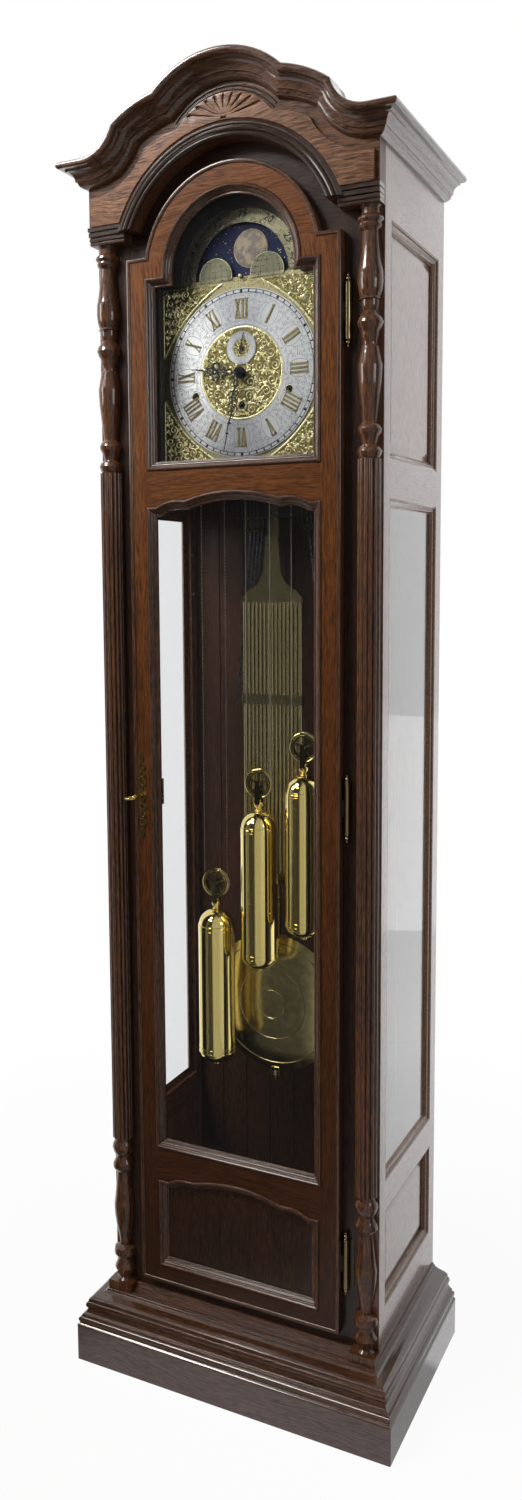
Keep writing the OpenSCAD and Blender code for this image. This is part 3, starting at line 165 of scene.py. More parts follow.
def new_material(name):
    """Starts a material and returns it with its nodes and its shader."""
    material = bpy.data.materials.new(name)
    material.use_nodes = True
    return material, material.node_tree, material.node_tree.nodes["Principled BSDF"]


surround, given, result = effect(
    "surround",
    {"Direction": (0, 1, 0), "Lens": 1, "Glossy": 0, "Glass": 0, "Glossy depth": 0, "Matt depth": 0},
    ["Level", "Shown", "Mirrored"],
)
parts = node(surround, "SeparateXYZ", {0: given["Direction"]}).outputs
turned = sums("ARCTAN2", parts[0], sums("MULTIPLY", parts[1], -1.0))
wall = sums("MULTIPLY", spread(turned, -0.1, 0.05, DIM_ROOM, PALE_WALL),
            spread(turned, 1.2, 1.35, 1.0, 0.08))
behind = sums("MAXIMUM", spread(turned, -1.35, -1.15, 1.0, 0.0),
              spread(turned, 1.7, 1.85, 0.0, 1.0))
around = sums("MAXIMUM", wall, behind)
clean = sums("LESS_THAN", given["Matt depth"], 0.5)
mirrored = sums("GREATER_THAN", given["Glossy depth"], 0.5)
straight = sums("MAXIMUM", given["Lens"], given["Glass"])
straight = sums("MULTIPLY", straight, sums("SUBTRACT", clean, mirrored))
straight = sums("MAXIMUM", straight, 0.0)
shiny = sums("MAXIMUM", given["Glossy"], given["Glass"])
shiny = sums("MULTIPLY", shiny, sums("MULTIPLY", mirrored, clean))
level = sums("MULTIPLY", shiny, around)
feed(result, {"Level": sums("MAXIMUM", level, straight), "Shown": sums("MAXIMUM", shiny, straight),
              "Mirrored": shiny})


def white_surround(tree, direction):
    """The glow of the surroundings, 1 where the lens, glass or a shining surface sees it, and 1
    where a shining surface alone does."""
    path = node(tree, "LightPath").outputs
    seen = use(tree, surround, {
        "Direction": direction, "Lens": path["Is Camera Ray"], "Glossy": path["Is Glossy Ray"],
        "Glass": path["Is Transmission Ray"], "Glossy depth": path["Glossy Depth"],
        "Matt depth": path["Diffuse Depth"],
    })
    return seen["Level"], seen["Shown"], seen["Mirrored"]


room = bpy.data.worlds.new("white_room")
bpy.context.scene.world = room
room.use_nodes = True
tree = room.node_tree
tree.nodes.clear()
level, shown, _ = white_surround(tree, node(tree, "TexCoord").outputs["Generated"])
fill = node(tree, "Mix", {0: shown, 2: ROOM_FILL, 3: level}).outputs[0]
glow = node(tree, "Background", {"Color": (1, 1, 1, 1), "Strength": fill})
node(tree, "OutputWorld", {0: glow.outputs[0]})

floor_mesh = bpy.data.meshes.new("floor")
floor_mesh.from_pydata([(-9, -9, 0), (9, -9, 0), (9, 9, 0), (-9, 9, 0)], [], [(0, 1, 2, 3)])
added("floor", floor_mesh)
paper, tree, matt = new_material("floor_paper")
feed(matt, {"Base Color": (0.93, 0.93, 0.93, 1), "Roughness": 0.9, "Specular IOR Level": 0.1})
spot = node(tree, "TexCoord").outputs["Object"]
level, shown, mirrored = white_surround(tree, spot)
reach = node(tree, "VectorMath", {0: spot}, operation="LENGTH").outputs["Value"]
level = sums("MAXIMUM", level, spread(reach, 0.33, 0.42, 0.5, 0.0))
beyond = spread(node(tree, "SeparateXYZ", {0: spot}).outputs[1], 0.3, 1.3, 0.0, 0.44)
level = sums("ADD", level, sums("MULTIPLY", mirrored, beyond))
glow = node(tree, "Emission", {"Strength": level})
share = sums("MULTIPLY", shown, spread(reach, 0.5, 1.5, SHEET_GLOW, 1.0))
choice = node(tree, "MixShader", {0: share, 1: matt.outputs[0], 2: glow.outputs[0]})
feed(tree.nodes["Material Output"], {"Surface": choice.outputs[0]})
floor_mesh.materials.append(paper)

# Carcass: plinth, base moulding, side frames and the boards between them, of oak stained almost
# black-brown and waxed to a satin gloss. The joints are glued; the grain runs along each board.
WALL = 0.16975


def out(depth):
    """The y, in metres, of what stands so many mm out from the wall."""
    return WALL - depth / 1000


def at(x, depth, z):
    """A point from its place in mm: across, out from the wall, and up."""
    return x / 1000, out(depth), z / 1000


def blend_colours(share, first, second):
    mix = node(share.id_data, "Mix", data_type="RGBA")
    for key, value in ((6, first), (7, second)):
        feed(mix, {key: value if isinstance(value, bpy.types.NodeSocket) else (*value, 1)})
    feed(mix, {0: share})
    return mix.outputs[2]


def blend_vectors(share, first, second):
    return node(share.id_data, "Mix", {0: share, 4: first, 5: second}, data_type="VECTOR").outputs[1]


def place(tree):
    """Coordinates on the piece in metres, and their three parts."""
    spot = node(tree, "TexCoord").outputs["Object"]
    parts = node(tree, "SeparateXYZ", {0: spot}).outputs
    return spot, parts[0], parts[1], parts[2]


def noise(vector, scale, detail=3.0, rough=0.55, distortion=0.0):
    inputs = {"Vector": vector, "Scale": scale, "Detail": detail, "Roughness": rough}
    return node(vector.id_data, "TexNoise", {**inputs, "Distortion": distortion}).outputs[0]


# Grain of sawn oak: a broad figure, streaks, and fine open pores, all drawn out along the board.
oak_grain, given, result = effect(
    "oak_grain",
    {"Across": 0, "Depth": 0, "Seed": 0, "Light": (0.2, 0.07, 0.028, 1), "Dark": (0.035, 0.012, 0.006, 1)},
    ["Color", "Roughness", "Height"],
)
spot, x, y, z = place(oak_grain)
level_grain = node(oak_grain, "CombineXYZ", {0: z, 1: y, 2: x}).outputs[0]
deep_grain = node(oak_grain, "CombineXYZ", {0: x, 1: z, 2: y}).outputs[0]
along = blend_vectors(given["Across"], spot, level_grain)
along = blend_vectors(given["Depth"], along, deep_grain)
shift = node(oak_grain, "CombineXYZ", {0: given["Seed"], 1: given["Seed"], 2: given["Seed"]})
along = node(oak_grain, "VectorMath", {0: along, 1: shift.outputs[0]}, operation="ADD").outputs[0]
wander = noise(along, 4.0, 2.0)
wander = node(oak_grain, "CombineXYZ", {0: sums("MULTIPLY", wander, 0.05)}).outputs[0]
along = node(oak_grain, "VectorMath", {0: along, 1: wander}, operation="ADD").outputs[0]


def drawn_out(stretch):
    scaled = {0: along, 1: (1, 1, stretch)}
    return node(oak_grain, "VectorMath", scaled, operation="MULTIPLY").outputs[0]


figure = noise(drawn_out(0.06), 60, 3.0, 0.6, 0.3)
streak = noise(drawn_out(0.03), 300, 3.0, 0.6)
fleck = noise(drawn_out(0.09), 620, 2.0, 0.6)
pore = spread(noise(drawn_out(0.035), 1100, 2.0, 0.5), 0.56, 0.68)
patch = noise(along, 3.1, 3.0)
tone = sums("MULTIPLY", figure, 0.18)
for part, weight in ((streak, 0.52), (fleck, 1.0), (patch, 0.3)):
    tone = sums("ADD", tone, sums("MULTIPLY", part, weight))
tone = spread(tone, 0.8, 1.2)
stain = blend_colours(tone, given["Dark"], given["Light"])
feed(result, {
    "Color": blend_colours(sums("MULTIPLY", pore, 0.65), stain, (0.008, 0.003, 0.002)),
    "Roughness": sums("ADD", spread(streak, 0.35, 0.65, 0.29, 0.4), sums("MULTIPLY", pore, 0.25)),
    "Height": sums("SUBTRACT", sums("MULTIPLY", streak, 0.5), pore),
})

# Masks of the boards in one glued piece: level rails, mitred returns, and rails in the sides.
level_zone, given, result = effect("level_zone", {"Half width": 1, "Bottom": 0, "Top": 1}, ["Mask"])
spot, x, y, z = place(level_zone)
near = sums("LESS_THAN", sums("ABSOLUTE", x), given["Half width"])
over, under = sums("GREATER_THAN", z, given["Bottom"]), sums("LESS_THAN", z, given["Top"])
feed(result, {"Mask": sums("MULTIPLY", near, sums("MULTIPLY", over, under))})
mitred_return, given, result = effect("mitred_return", {"Line": 0}, ["Mask"])
spot, x, y, z = place(mitred_return)
behind = sums("GREATER_THAN", sums("ADD", sums("ABSOLUTE", x), y), given["Line"])
feed(result, {"Mask": behind})
deep_zone, given, result = effect("deep_zone", {"Front": 0, "Back": 1}, ["Mask"])
y = place(deep_zone)[2]
inner = sums("MULTIPLY", sums("GREATER_THAN", y, given["Front"]), sums("LESS_THAN", y, given["Back"]))
feed(result, {"Mask": inner})

DARK_STAIN = (0.024, 0.0092, 0.0045)
CASE_STAIN = (0.125, 0.047, 0.018)
# Colour of the painted shade that darkens the door towards the foot of the clock.
FOOT_SHADE_COLOUR = (0.012, 0.005, 0.003)
TOUCHING = 0.00002


def oak(name, seed, light=CASE_STAIN, dark=DARK_STAIN, rails=(), returns=None, deep=None,
        gloss=0.5, sheen=0.22, painted_foot_shade=0):
    """Stained, waxed oak. Rails, returns and deep name the boards whose grain isn't upright;
    painted_foot_shade is how much painted shade darkens the colour from the top of the clock to its foot."""
    material, tree, shader = new_material("oak_" + name)
    across = depth = 0.0
    for half_width, bottom, top in rails:
        zone = {"Half width": half_width, "Bottom": bottom, "Top": top}
        mask = use(tree, level_zone, zone)["Mask"]
        across = mask if across == 0.0 else sums("MAXIMUM", across, mask)
    if returns is not None:
        depth = use(tree, mitred_return, {"Line": returns})["Mask"]
    if deep is not None:
        depth = use(tree, deep_zone, {"Front": out(deep[0]), "Back": out(deep[1])})["Mask"]
    grain = use(tree, oak_grain, {"Across": across, "Depth": depth, "Seed": seed,
                                  "Light": (*light, 1), "Dark": (*dark, 1)})
    colour = grain["Color"]
    # Painted shade: the colour darkens from the top of the clock to its foot, standing for light that falls
    # off downwards.
    if painted_foot_shade:
        colour = blend_colours(spread(place(tree)[3], 0.2, 1.75, painted_foot_shade, 0.0), colour, FOOT_SHADE_COLOUR)
    bump = node(tree, "Bump", {"Height": grain["Height"], "Strength": 0.6, "Distance": 0.0003})
    feed(shader, {"Base Color": colour, "Roughness": grain["Roughness"], "Normal": bump.outputs[0],
                  "Coat Weight": gloss, "Coat Roughness": 0.1, "Specular IOR Level": sheen})
    return material


def eased(piece, width, angle):
    """Rounds the edges of a piece that turn by more than an angle."""
    bevel = piece.modifiers.new("eased_edges", "BEVEL")
    bevel.width, bevel.segments = width, 2
    bevel.limit_method, bevel.angle_limit = "ANGLE", radians(angle)


def dress(name, material, ease=0.0008, angle=32):
    """Gives a solid of the frame its material, eased edges and smooth curved faces."""
    piece = CLOCK[name]
    mesh = piece.data
    mesh.materials.clear()
    mesh.materials.append(material)
    normals = mesh.attributes.get("custom_normal")
    if normals:
        mesh.attributes.remove(normals)
    mesh.shade_smooth()
    piece.modifiers.new("weld", "WELD").merge_threshold = TOUCHING
    if ease:
        eased(piece, ease, angle)
    piece.modifiers.new("hard_corners", "EDGE_SPLIT").split_angle = radians(60)
    flat = piece.modifiers.new("flat_faces", "WEIGHTED_NORMAL")
    flat.mode = "FACE_AREA_WITH_ANGLE"
    flat.weight = 60


def refaced(name, title, body):
    """Puts a clean copy in the place of an oak solid whose flat ends fold over themselves: each
    folded plane is opened and filled anew from its outline."""
    shell = bmesh.new()
    shell.from_mesh(CLOCK[name].data)
    bmesh.ops.remove_doubles(shell, verts=shell.verts, dist=TOUCHING)
    shell.normal_update()
    planes = {}
    for edge in shell.edges:
        if len(edge.link_faces) == 2:
            way, other = [face.normal for face in edge.link_faces]
            if way.dot(other) < -0.99:
                way = way.copy() if way.y > 0 else -way
                level = edge.verts[0].co.dot(way)
                planes[round(way.y, 3), round(way.z, 3), round(level, 4)] = (way, level)
    for way, level in planes.values():
        flat = [face for face in shell.faces if abs(face.normal.dot(way)) > 0.999
                and abs(face.calc_center_median().dot(way) - level) < TOUCHING]
        bmesh.ops.delete(shell, geom=flat, context="FACES")
        rim = [edge for edge in shell.edges if edge.is_boundary]
        bmesh.ops.triangle_fill(shell, edges=rim, normal=way, use_beauty=False)
    bmesh.ops.recalc_face_normals(shell, faces=shell.faces)
    mesh = bpy.data.meshes.new(title)
    shell.to_mesh(mesh)
    shell.free()
    piece = added(title, mesh)
    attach(piece, body)
    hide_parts(name)
    CLOCK[name] = piece


refaced("base_moulding", "base_moulding_clean", "case")
refaced("crown", "crown_clean", "case")
refaced("door_panel", "door_panel_clean", "door")
ALL_LEVEL = [(1, 0, 3)]
BASE_MITRE = 0.10775
# The plinth's pale grey-violet is partly its stain and partly painted sheen, standing for the reflection of
# the white floor.
plinth_oak_painted_sheen = oak("plinth", 1.3, (0.17, 0.112, 0.106), (0.085, 0.055, 0.051), ALL_LEVEL, BASE_MITRE, gloss=1)
dress("plinth", plinth_oak_painted_sheen, 0.0012)
dress("base_moulding", oak("base", 2.1, rails=ALL_LEVEL, returns=BASE_MITRE, gloss=1), 0.0005, 24)
dress("base_board", oak("sill", 3.7, rails=ALL_LEVEL))
dress("case_boards", oak("boards", 5.2, rails=ALL_LEVEL))
side_oak = oak("sides", 6.4, (0.27, 0.1, 0.045), deep=(251, 28), gloss=1, sheen=0.3)
for name in ("side_frame_left", "side_frame_right"):
    dress(name, side_oak)

# Side panels: a raised panel low and high in each side, with a clear pane between them. They
# lie in the frames behind quadrant mouldings that are mitred and pinned round each opening.
dress("side_panels", oak("side_panels", 9.1, (0.32, 0.115, 0.055), gloss=1, sheen=0.3), 0.0006)
SIDE_BACK, SIDE_FRONT = 28, 251
SIDE_OPENINGS = {"lower": (187, 342), "pane": (391, 1421), "upper": (1478, 1806)}
BEAD_SECTION = [
    (0, 235.2), (1.4, 235.6), (2.6, 235.2), (3.2, 233.6), (4.2, 233.2), (6.6, 232.6), (8.8, 231),
    (10.2, 228.9), (10.6, 227.6), (11.6, 227.4), (12, 226.4), (12, 225), (0, 225),
]


def skin(loops, open_ended=False, caps=False):
    """Joins rows of points into a surface: closed in both ways, or open from first to last."""
    count = len(loops[0])
    points = [point for loop in loops for point in loop]
    faces = []
    for row in range(len(loops) - (1 if open_ended else 0)):
        near, far = row * count, (row + 1) % len(loops) * count
        for i in range(count):
            j = (i + 1) % count
            faces.append((near + i, near + j, far + j, far + i))
    if caps:
        faces += [tuple(range(count))[::-1], tuple(range(len(points) - count, len(points)))]
    return points, faces


def solid(loops):
    """A solid between the first and the last row of points."""
    return skin(loops, True, True)


def gathered(parts):
    """Puts several (points, faces) pairs into one."""
    points, faces = [], []
    for some_points, some_faces in parts:
        start = len(points)
        points.extend(some_points)
        faces.extend(tuple(start + i for i in face) for face in some_faces)
    return points, faces


def make(name, shape, material, body, crease=38, ease=0):
    """Makes a piece from (points, faces) in metres, with outward faces and smooth curves."""
    points, faces = shape
    mesh = bpy.data.meshes.new(name)
    mesh.from_pydata(points, [], faces)
    shell = bmesh.new()
    shell.from_mesh(mesh)
    bmesh.ops.recalc_face_normals(shell, faces=shell.faces)
    shell.to_mesh(mesh)
    shell.free()
    mesh.shade_smooth()
    mesh.set_sharp_from_angle(angle=radians(crease))
    mesh.materials.append(material)
    piece = added(name, mesh)
    if ease:
        eased(piece, ease, 30)
    if body:
        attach(piece, body)
    return piece


bead_oak = oak("beads", 4.4, (0.34, 0.15, 0.06), (0.06, 0.022, 0.009), deep=(250, 29), gloss=0.6)
for side, sign in (("left", -1), ("right", 1)):
    for title, (bottom, top) in SIDE_OPENINGS.items():
        loops = []
        for inset, height in BEAD_SECTION:
            front, back = SIDE_FRONT - inset, SIDE_BACK + inset
            low, high = bottom + inset, top - inset
            loops.append([at(sign * height, depth, z)
                          for depth, z in ((front, low), (back, low), (back, high), (front, high))])
        make(f"side_bead_{title}_{side}", skin(loops), bead_oak, "case", 25)

# Panes: clear float glass, a little cold in its depth. It lets lamp light and the glow of the
# room through, so what stands behind it is lit.
clear_glass, tree, shader = new_material("glass_clear")
glass_tint = (0.985, 0.996, 1.0, 1)
haze = noise(place(tree)[0], 9, 4.0)
feed(shader, {"Base Color": glass_tint, "Transmission Weight": 1, "IOR": 1.5,
              "Roughness": spread(haze, 0.35, 0.75, 0.0, 0.035)})
clear = node(tree, "BsdfTransparent", {"Color": glass_tint})
path = node(tree, "LightPath").outputs
passing = sums("MAXIMUM", path["Is Shadow Ray"], path["Is Diffuse Ray"])
choice = node(tree, "MixShader", {0: passing, 1: shader.outputs[0], 2: clear.outputs[0]})
feed(tree.nodes["Material Output"], {"Surface": choice.outputs[0]})
dress("side_glasses", clear_glass, 0.0004)

# Back: upright boards with V grooves, screwed to the rear stiles of the sides. They are darker
# than the rest and hardly waxed.
BOARDS, GROOVE, BACK_FACE, GROOVE_FOOT = 9, 1.6, 10.0, 8.4
(first_x, _, low), (last_x, _, high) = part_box("back_panel")
outline = [(first_x * 1000, 2.0)]
for i in range(BOARDS + 1):
    x = (first_x + (last_x - first_x) * i / BOARDS) * 1000
    if i in (0, BOARDS):
        outline.append((x, BACK_FACE))
    else:
        outline += [(x - GROOVE, BACK_FACE), (x - 0.3, GROOVE_FOOT), (x + 0.3, GROOVE_FOOT),
                    (x + GROOVE, BACK_FACE)]
outline.append((last_x * 1000, 2.0))
loops = [[(x / 1000, out(d), level) for x, d in outline] for level in (low, high)]
back_oak = oak("back", 7.7, (0.07, 0.03, 0.016), (0.02, 0.009, 0.006), gloss=0.25)
back = make("back_boards", solid(loops), back_oak, "case")
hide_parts("back_panel")

# Front: face frame behind the door, half columns with reeded shafts, arched frieze with its
# raised overlay, arch moulding and crown. The columns are turned, the mouldings run and mitred.
SHADOW_STAIN = (0.06, 0.026, 0.013)
FACE_RAILS = [(0.172, 0, 0.16), (0.172, 1.79, 2)]
dress("face_frame", oak("face", 8.3, (0.055, 0.024, 0.014), (0.018, 0.008, 0.005), FACE_RAILS))
dress("columns", oak("columns", 11.7, (0.17, 0.062, 0.02), gloss=0.8, sheen=0.15), 0.0003, 24)
dress("frieze", oak("frieze", 12.9, (0.2, 0.088, 0.038), (0.04, 0.017, 0.008), ALL_LEVEL, gloss=0.2))
overlay_oak = oak("overlay", 13.3, (0.33, 0.15, 0.07), (0.05, 0.021, 0.01), ALL_LEVEL, gloss=0.15)
dress("frieze_overlay", overlay_oak)
arch_oak = oak("arch", 14.8, SHADOW_STAIN, (0.016, 0.007, 0.004), ALL_LEVEL, gloss=1)
dress("arch_moulding", arch_oak, 0.0003, 24)
crown_oak = oak("crown", 15.6, (0.19, 0.083, 0.038), rails=ALL_LEVEL, returns=0.10475, gloss=1)
dress("crown", crown_oak, 0.0004, 24)
dress("seat_board", oak("seat", 16.2, rails=ALL_LEVEL))
# The surround is a neutral dark grey: partly its black paint, partly a painted reflection of the glass and
# room.
dress("dial_surround", oak("surround", 17.9, (0.05, 0.045, 0.045), (0.025, 0.022, 0.022), gloss=0.2))

# Stepped mouldings under both ends of the frieze, planted on it over the columns.
step_oak = oak("steps", 15.1, SHADOW_STAIN, (0.018, 0.008, 0.005), ALL_LEVEL, gloss=1)
for side, sign in (("left", -1), ("right", 1)):
    layers = []
    for low, high, reach, more in ((1837.5, 1844, 304.4, 1.4), (1830, 1836.5, 302.6, 0.9),
                                   (1823.5, 1829, 300.8, 0.5), (1818.6, 1822.5, 299.6, 0.3)):
        inner, outer = sorted((sign * (174.5 - more), sign * (236 + more)))
        plan = ((inner, 284), (outer, 284), (outer, reach), (inner, reach))
        layers.append(solid([[at(x, depth, z) for x, depth in plan] for z in (low, high)]))
    make("frieze_steps_" + side, gathered(layers), step_oak, "case", ease=0.0007)

# Crest lines: two thin beads run round the fan, between the raised overlay and the crown. They
# are turned as half rings and glued to the frieze.
FAN_Z, CREST_DEPTH = 1901, 301.2


def circle(count):
    """Cosine and sine of directions spread evenly over one turn."""
    return [(cos(tau * k / count), sin(tau * k / count)) for k in range(count)]


crest_beads = []
for reach, size, swing in ((102.5, 1.2, 50.2), (108, 1.6, 49)):
    rings = []
    for k in range(49):
        a = radians(-swing + 2 * swing * k / 48)
        ring = [(reach + size * c, CREST_DEPTH + size * s) for c, s in circle(10)]
        rings.append([at(radius * sin(a), depth, FAN_Z + radius * cos(a)) for radius, depth in ring])
    crest_beads.append(solid(rings))
make("crest_beads", gathered(crest_beads), step_oak, "case")

# Movement: brass plates, pillars, drums and wheels with steel arbors, behind the dial on the
# seat board. The plates are brushed; handling has left them a little uneven in colour.
metal_wear, given, result = effect(
    "metal_wear",
    {"Bright": (0.85, 0.6, 0.22, 1), "Tarnish": (0.4, 0.24, 0.07, 1), "Polish": 0.12, "Scale": 60},
    ["Color", "Roughness", "Height"],
)
spot = place(metal_wear)[0]
cloud = noise(spot, 7, 4.0, 0.6)
fine = node(metal_wear, "TexNoise", {"Vector": spot, "Scale": given["Scale"], "Detail": 4.0})
dullness = spread(cloud, 0.42, 0.78, 0.0, 0.55)
feed(result, {
    "Color": blend_colours(dullness, given["Bright"], given["Tarnish"]),
    "Roughness": sums("MULTIPLY", given["Polish"], spread(fine.outputs[0], 0.3, 0.8, 0.8, 1.4)),
    "Height": fine.outputs[0],
})


def metal(name, bright, tarnish, polish, scale=60.0, uneven=0.1, depth=0.0002, shaded_above=None):
    """A metal with clouds of tarnish; depth and uneven set the bump of its surface. Above the height
    shaded_above its colour is dark, a painted shade."""
    material, tree, shader = new_material(name)
    wear = use(tree, metal_wear, {"Bright": (*bright, 1), "Tarnish": (*tarnish, 1), "Polish": polish,
                                  "Scale": scale})
    colour = wear["Color"]
    if shaded_above is not None:
        colour = blend_colours(sums("GREATER_THAN", place(tree)[3], shaded_above), colour, (0.16, 0.125, 0.05))
    feed(shader, {"Base Color": colour, "Metallic": 1, "Roughness": wear["Roughness"]})
    if uneven:
        bump = node(tree, "Bump", {"Height": wear["Height"], "Strength": uneven, "Distance": depth})
        feed(shader, {"Normal": bump.outputs[0]})
    return material


plate_brass = metal("brass_plates", (0.66, 0.47, 0.18), (0.36, 0.24, 0.08), 0.28, 300, 0.3)
WHEEL_BRASS = (0.72, 0.5, 0.19), (0.4, 0.26, 0.09), 0.2, 200
wheel_brass = metal("brass_wheels", *WHEEL_BRASS)
bare_steel = metal("steel", (0.5, 0.5, 0.52), (0.3, 0.28, 0.27), 0.25, 300)
dress("movement_frame", plate_brass, 0.0003)
for name in ("minute_wheel", "escape_wheel"):
    dress(name, wheel_brass, 0.0002, 50)
SIDES, WEIGHT_X, ARBOR_Z = ("left", "middle", "right"), (-79, 0, 79), (1586.0, 1568.0, 1586.0)
ARBOR_HALF = 0.0045


def apart(x, z, x_mm, z_mm):
    """How far, in metres, a point is from (x_mm, z_mm): the larger of its two distances."""
    return sums("MAXIMUM", sums("ABSOLUTE", sums("SUBTRACT", x, x_mm / 1000)),
                sums("ABSOLUTE", sums("SUBTRACT", z, z_mm / 1000)))


# Painted shade: a near-black square on each drum's winding arbor stands for the shade in the winding hole in
# front of it.
for side, x, z in zip(SIDES, WEIGHT_X, ARBOR_Z):
    drum_brass = metal("brass_drum_" + side, *WHEEL_BRASS)
    parts = place(drum_brass.node_tree)
    hole_shade_mask = sums("LESS_THAN", apart(parts[1], parts[3], x, z), ARBOR_HALF)
    base = drum_brass.node_tree.nodes["Principled BSDF"].inputs["Base Color"]
    painted_hole_shade = blend_colours(hole_shade_mask, base.links[0].from_socket, (0.02, 0.02, 0.022))
    feed(base.node, {"Base Color": painted_hole_shade})
    dress("drum_" + side, drum_brass, 0.0002, 50)
dress("anchor", bare_steel, 0.0002)

# Dial plate: rolled brass, brushed upright and lacquered to a dull olive, with an arched top.
# The rings, corner pieces and lunar arc are riveted on its face.
DIAL_FACE, DIAL_Z, SECONDS_Z, MOON_Z = 250, 1615.5, 1652.5, 1757
WINDING_DROP = 47.5
plate = metal("brass_dial_plate", (0.34, 0.3, 0.16), (0.26, 0.22, 0.11), 0.3, 500, 0.25)
dress("dial_plate", plate, 0.0002)


def on_face(depth, centre_z=DIAL_Z, centre_x=0.0, angle=0.0, mirror=False):
    """Turns flat points (x, z, height) in mm about a centre on the dial into real places."""
    c, s = cos(radians(angle)), sin(radians(angle))

    def put(points):
        placed = []
        for x, z, h in points:
            x = -x if mirror else x
            x, z = x * c + z * s, z * c - x * s
            placed.append(((centre_x + x) / 1000, out(depth + h), (centre_z + z) / 1000))
        return placed

    return put


def strip(path, widths, height, section="round"):
    """A raised strip along flat (x, z) points, with a half round or flat section."""
    shapes = {"round": [(-1, 0), (-0.8, 0.62), (0, 1), (0.8, 0.62), (1, 0)],
              "flat": [(-1, 0), (-1, 1), (1, 1), (1, 0)]}
    points = [Vector(p) for p in path]
    if isinstance(widths, (int, float)):
        widths = [widths] * len(points)
    rows = []
    for i, point in enumerate(points):
        before, after = points[max(i - 1, 0)], points[min(i + 1, len(points) - 1)]
        way = (after - before).normalized()
        across = Vector((-way.y, way.x)) * widths[i] / 2
        rows.append([(*(point + across * a), height * b) for a, b in shapes[section]])
    return solid(rows)


def circle_line(radius, width, height, section="flat", sides=96, start=0.0, sweep=360.0):
    """A raised ring or arc, clockwise from start in degrees after twelve."""
    steps = max(3, round(sides * sweep / 360))
    turns = [radians(start + sweep * i / steps) for i in range(steps + 1)]
    return strip([(radius * sin(a), radius * cos(a)) for a in turns], width, height, section)


def slab(outline, top, foot=0):
    """A flat plate of one outline of (x, z) points."""
    return solid([[(x, z, h) for x, z in outline] for h in (foot, top)])


def bar(x0, z0, x1, z1, height):
    return slab([(x0, z0), (x1, z0), (x1, z1), (x0, z1)], height)


def stroke(x0, z0, x1, z1, width, height):
    """A slanting stroke that ends level at both ends."""
    half = width / 2
    return slab([(x0 - half, z0), (x0 + half, z0), (x1 + half, z1), (x1 - half, z1)], height)


def laid(shape, put):
    return put(shape[0]), shape[1]


# Chapter ring: silvered brass, brushed in circles, with raised bronze numerals, black minute
# marks and blue-black engraving between the plain ovals that hold the numerals. The light and
# dark sectors of the turned face are a painted sheen: the colour is brighter at three and nine o'clock than
# at twelve and six, and brightest at nine.
silver, tree, shader = new_material("silvered_rings")
spot, x, y, z = place(tree)
z = sums("SUBTRACT", z, DIAL_Z / 1000)
radius = sums("SQRT", sums("ADD", sums("POWER", x, 2.0), sums("POWER", z, 2.0)))
line = noise(node(tree, "CombineXYZ", {0: radius}).outputs[0], 1500, 2.0, 0.7)
cloud = noise(spot, 26, 3.0)
# Painted sheen: brighter where the ring runs across than where it runs up and down, brightest on the left.
painted_sheen_turn = sums("DIVIDE", sums("ABSOLUTE", x), sums("MAXIMUM", radius, 0.001))
sides = blend_colours(spread(x, -0.09, 0.09), (0.98, 0.97, 0.95), (0.56, 0.56, 0.55))
silver_and_painted_sheen = blend_colours(spread(painted_sheen_turn, 0.25, 0.97), (0.36, 0.36, 0.36), sides)
tarnish = sums("MULTIPLY", spread(cloud, 0.35, 0.7), 0.16)
bump = node(tree, "Bump", {"Height": line, "Strength": 0.35, "Distance": 0.0004})
feed(shader, {"Base Color": blend_colours(tarnish, silver_and_painted_sheen, (0.1, 0.105, 0.12)), "Metallic": 1,
              "Roughness": spread(line, 0.3, 0.7, 0.28, 0.42), "Normal": bump.outputs[0]})
dress("chapter_rings", silver, 0.0002)
RING_FACE, SECONDS_FACE = DIAL_FACE + 1.5, DIAL_FACE + 2.2
NUMERAL_TOP, NUMERAL_FOOT = 109.5, 80.5
numeral_bronze = metal("bronze_numerals", (0.3, 0.25, 0.125), (0.15, 0.12, 0.06), 0.3, 400, 0.15)


def enamel(name, scale, detail, dark, light, polish, span=(0, 1), **looks):
    """Opaque colour in soft clouds; polish gives its roughness from dark to light."""
    material, tree, shader = new_material(name)
    cloud = noise(place(tree)[0], scale, detail)
    feed(shader, {"Base Color": blend_colours(spread(cloud, *span), dark, light),
                  "Roughness": spread(cloud, 0.3, 0.7, *polish), **looks})
    return material


engraved_ink = enamel("engraving", 120, 2.0, (0.06, 0.063, 0.1), (0.15, 0.155, 0.21), (0.5, 0.5),
                      (0.35, 0.65))
ink_black = enamel("black_enamel", 150, 2.0, (0.004, 0.004, 0.005), (0.018, 0.017, 0.02), (0.2, 0.35))


# Width, strokes (place at the top, at the foot, and thickness) and serifs of each letter.
LETTERS = {
    "I": (5.2, [(0, 0, 3.4)], [(0, 5.2)], [(0, 5.2)]),
    "V": (9.6, [(-3.2, 0, 3.5), (3.2, 0.3, 1.7)], [(0, 5.952), (6.528, 9.12)], [(2.8, 6.8)]),
    "X": (9.6, [(-3.2, 3.2, 3.5), (3.2, -3.2, 1.7)], [(0, 4.608), (5.952, 9.6)], [(0, 4.608), (5.952, 9.6)]),
}


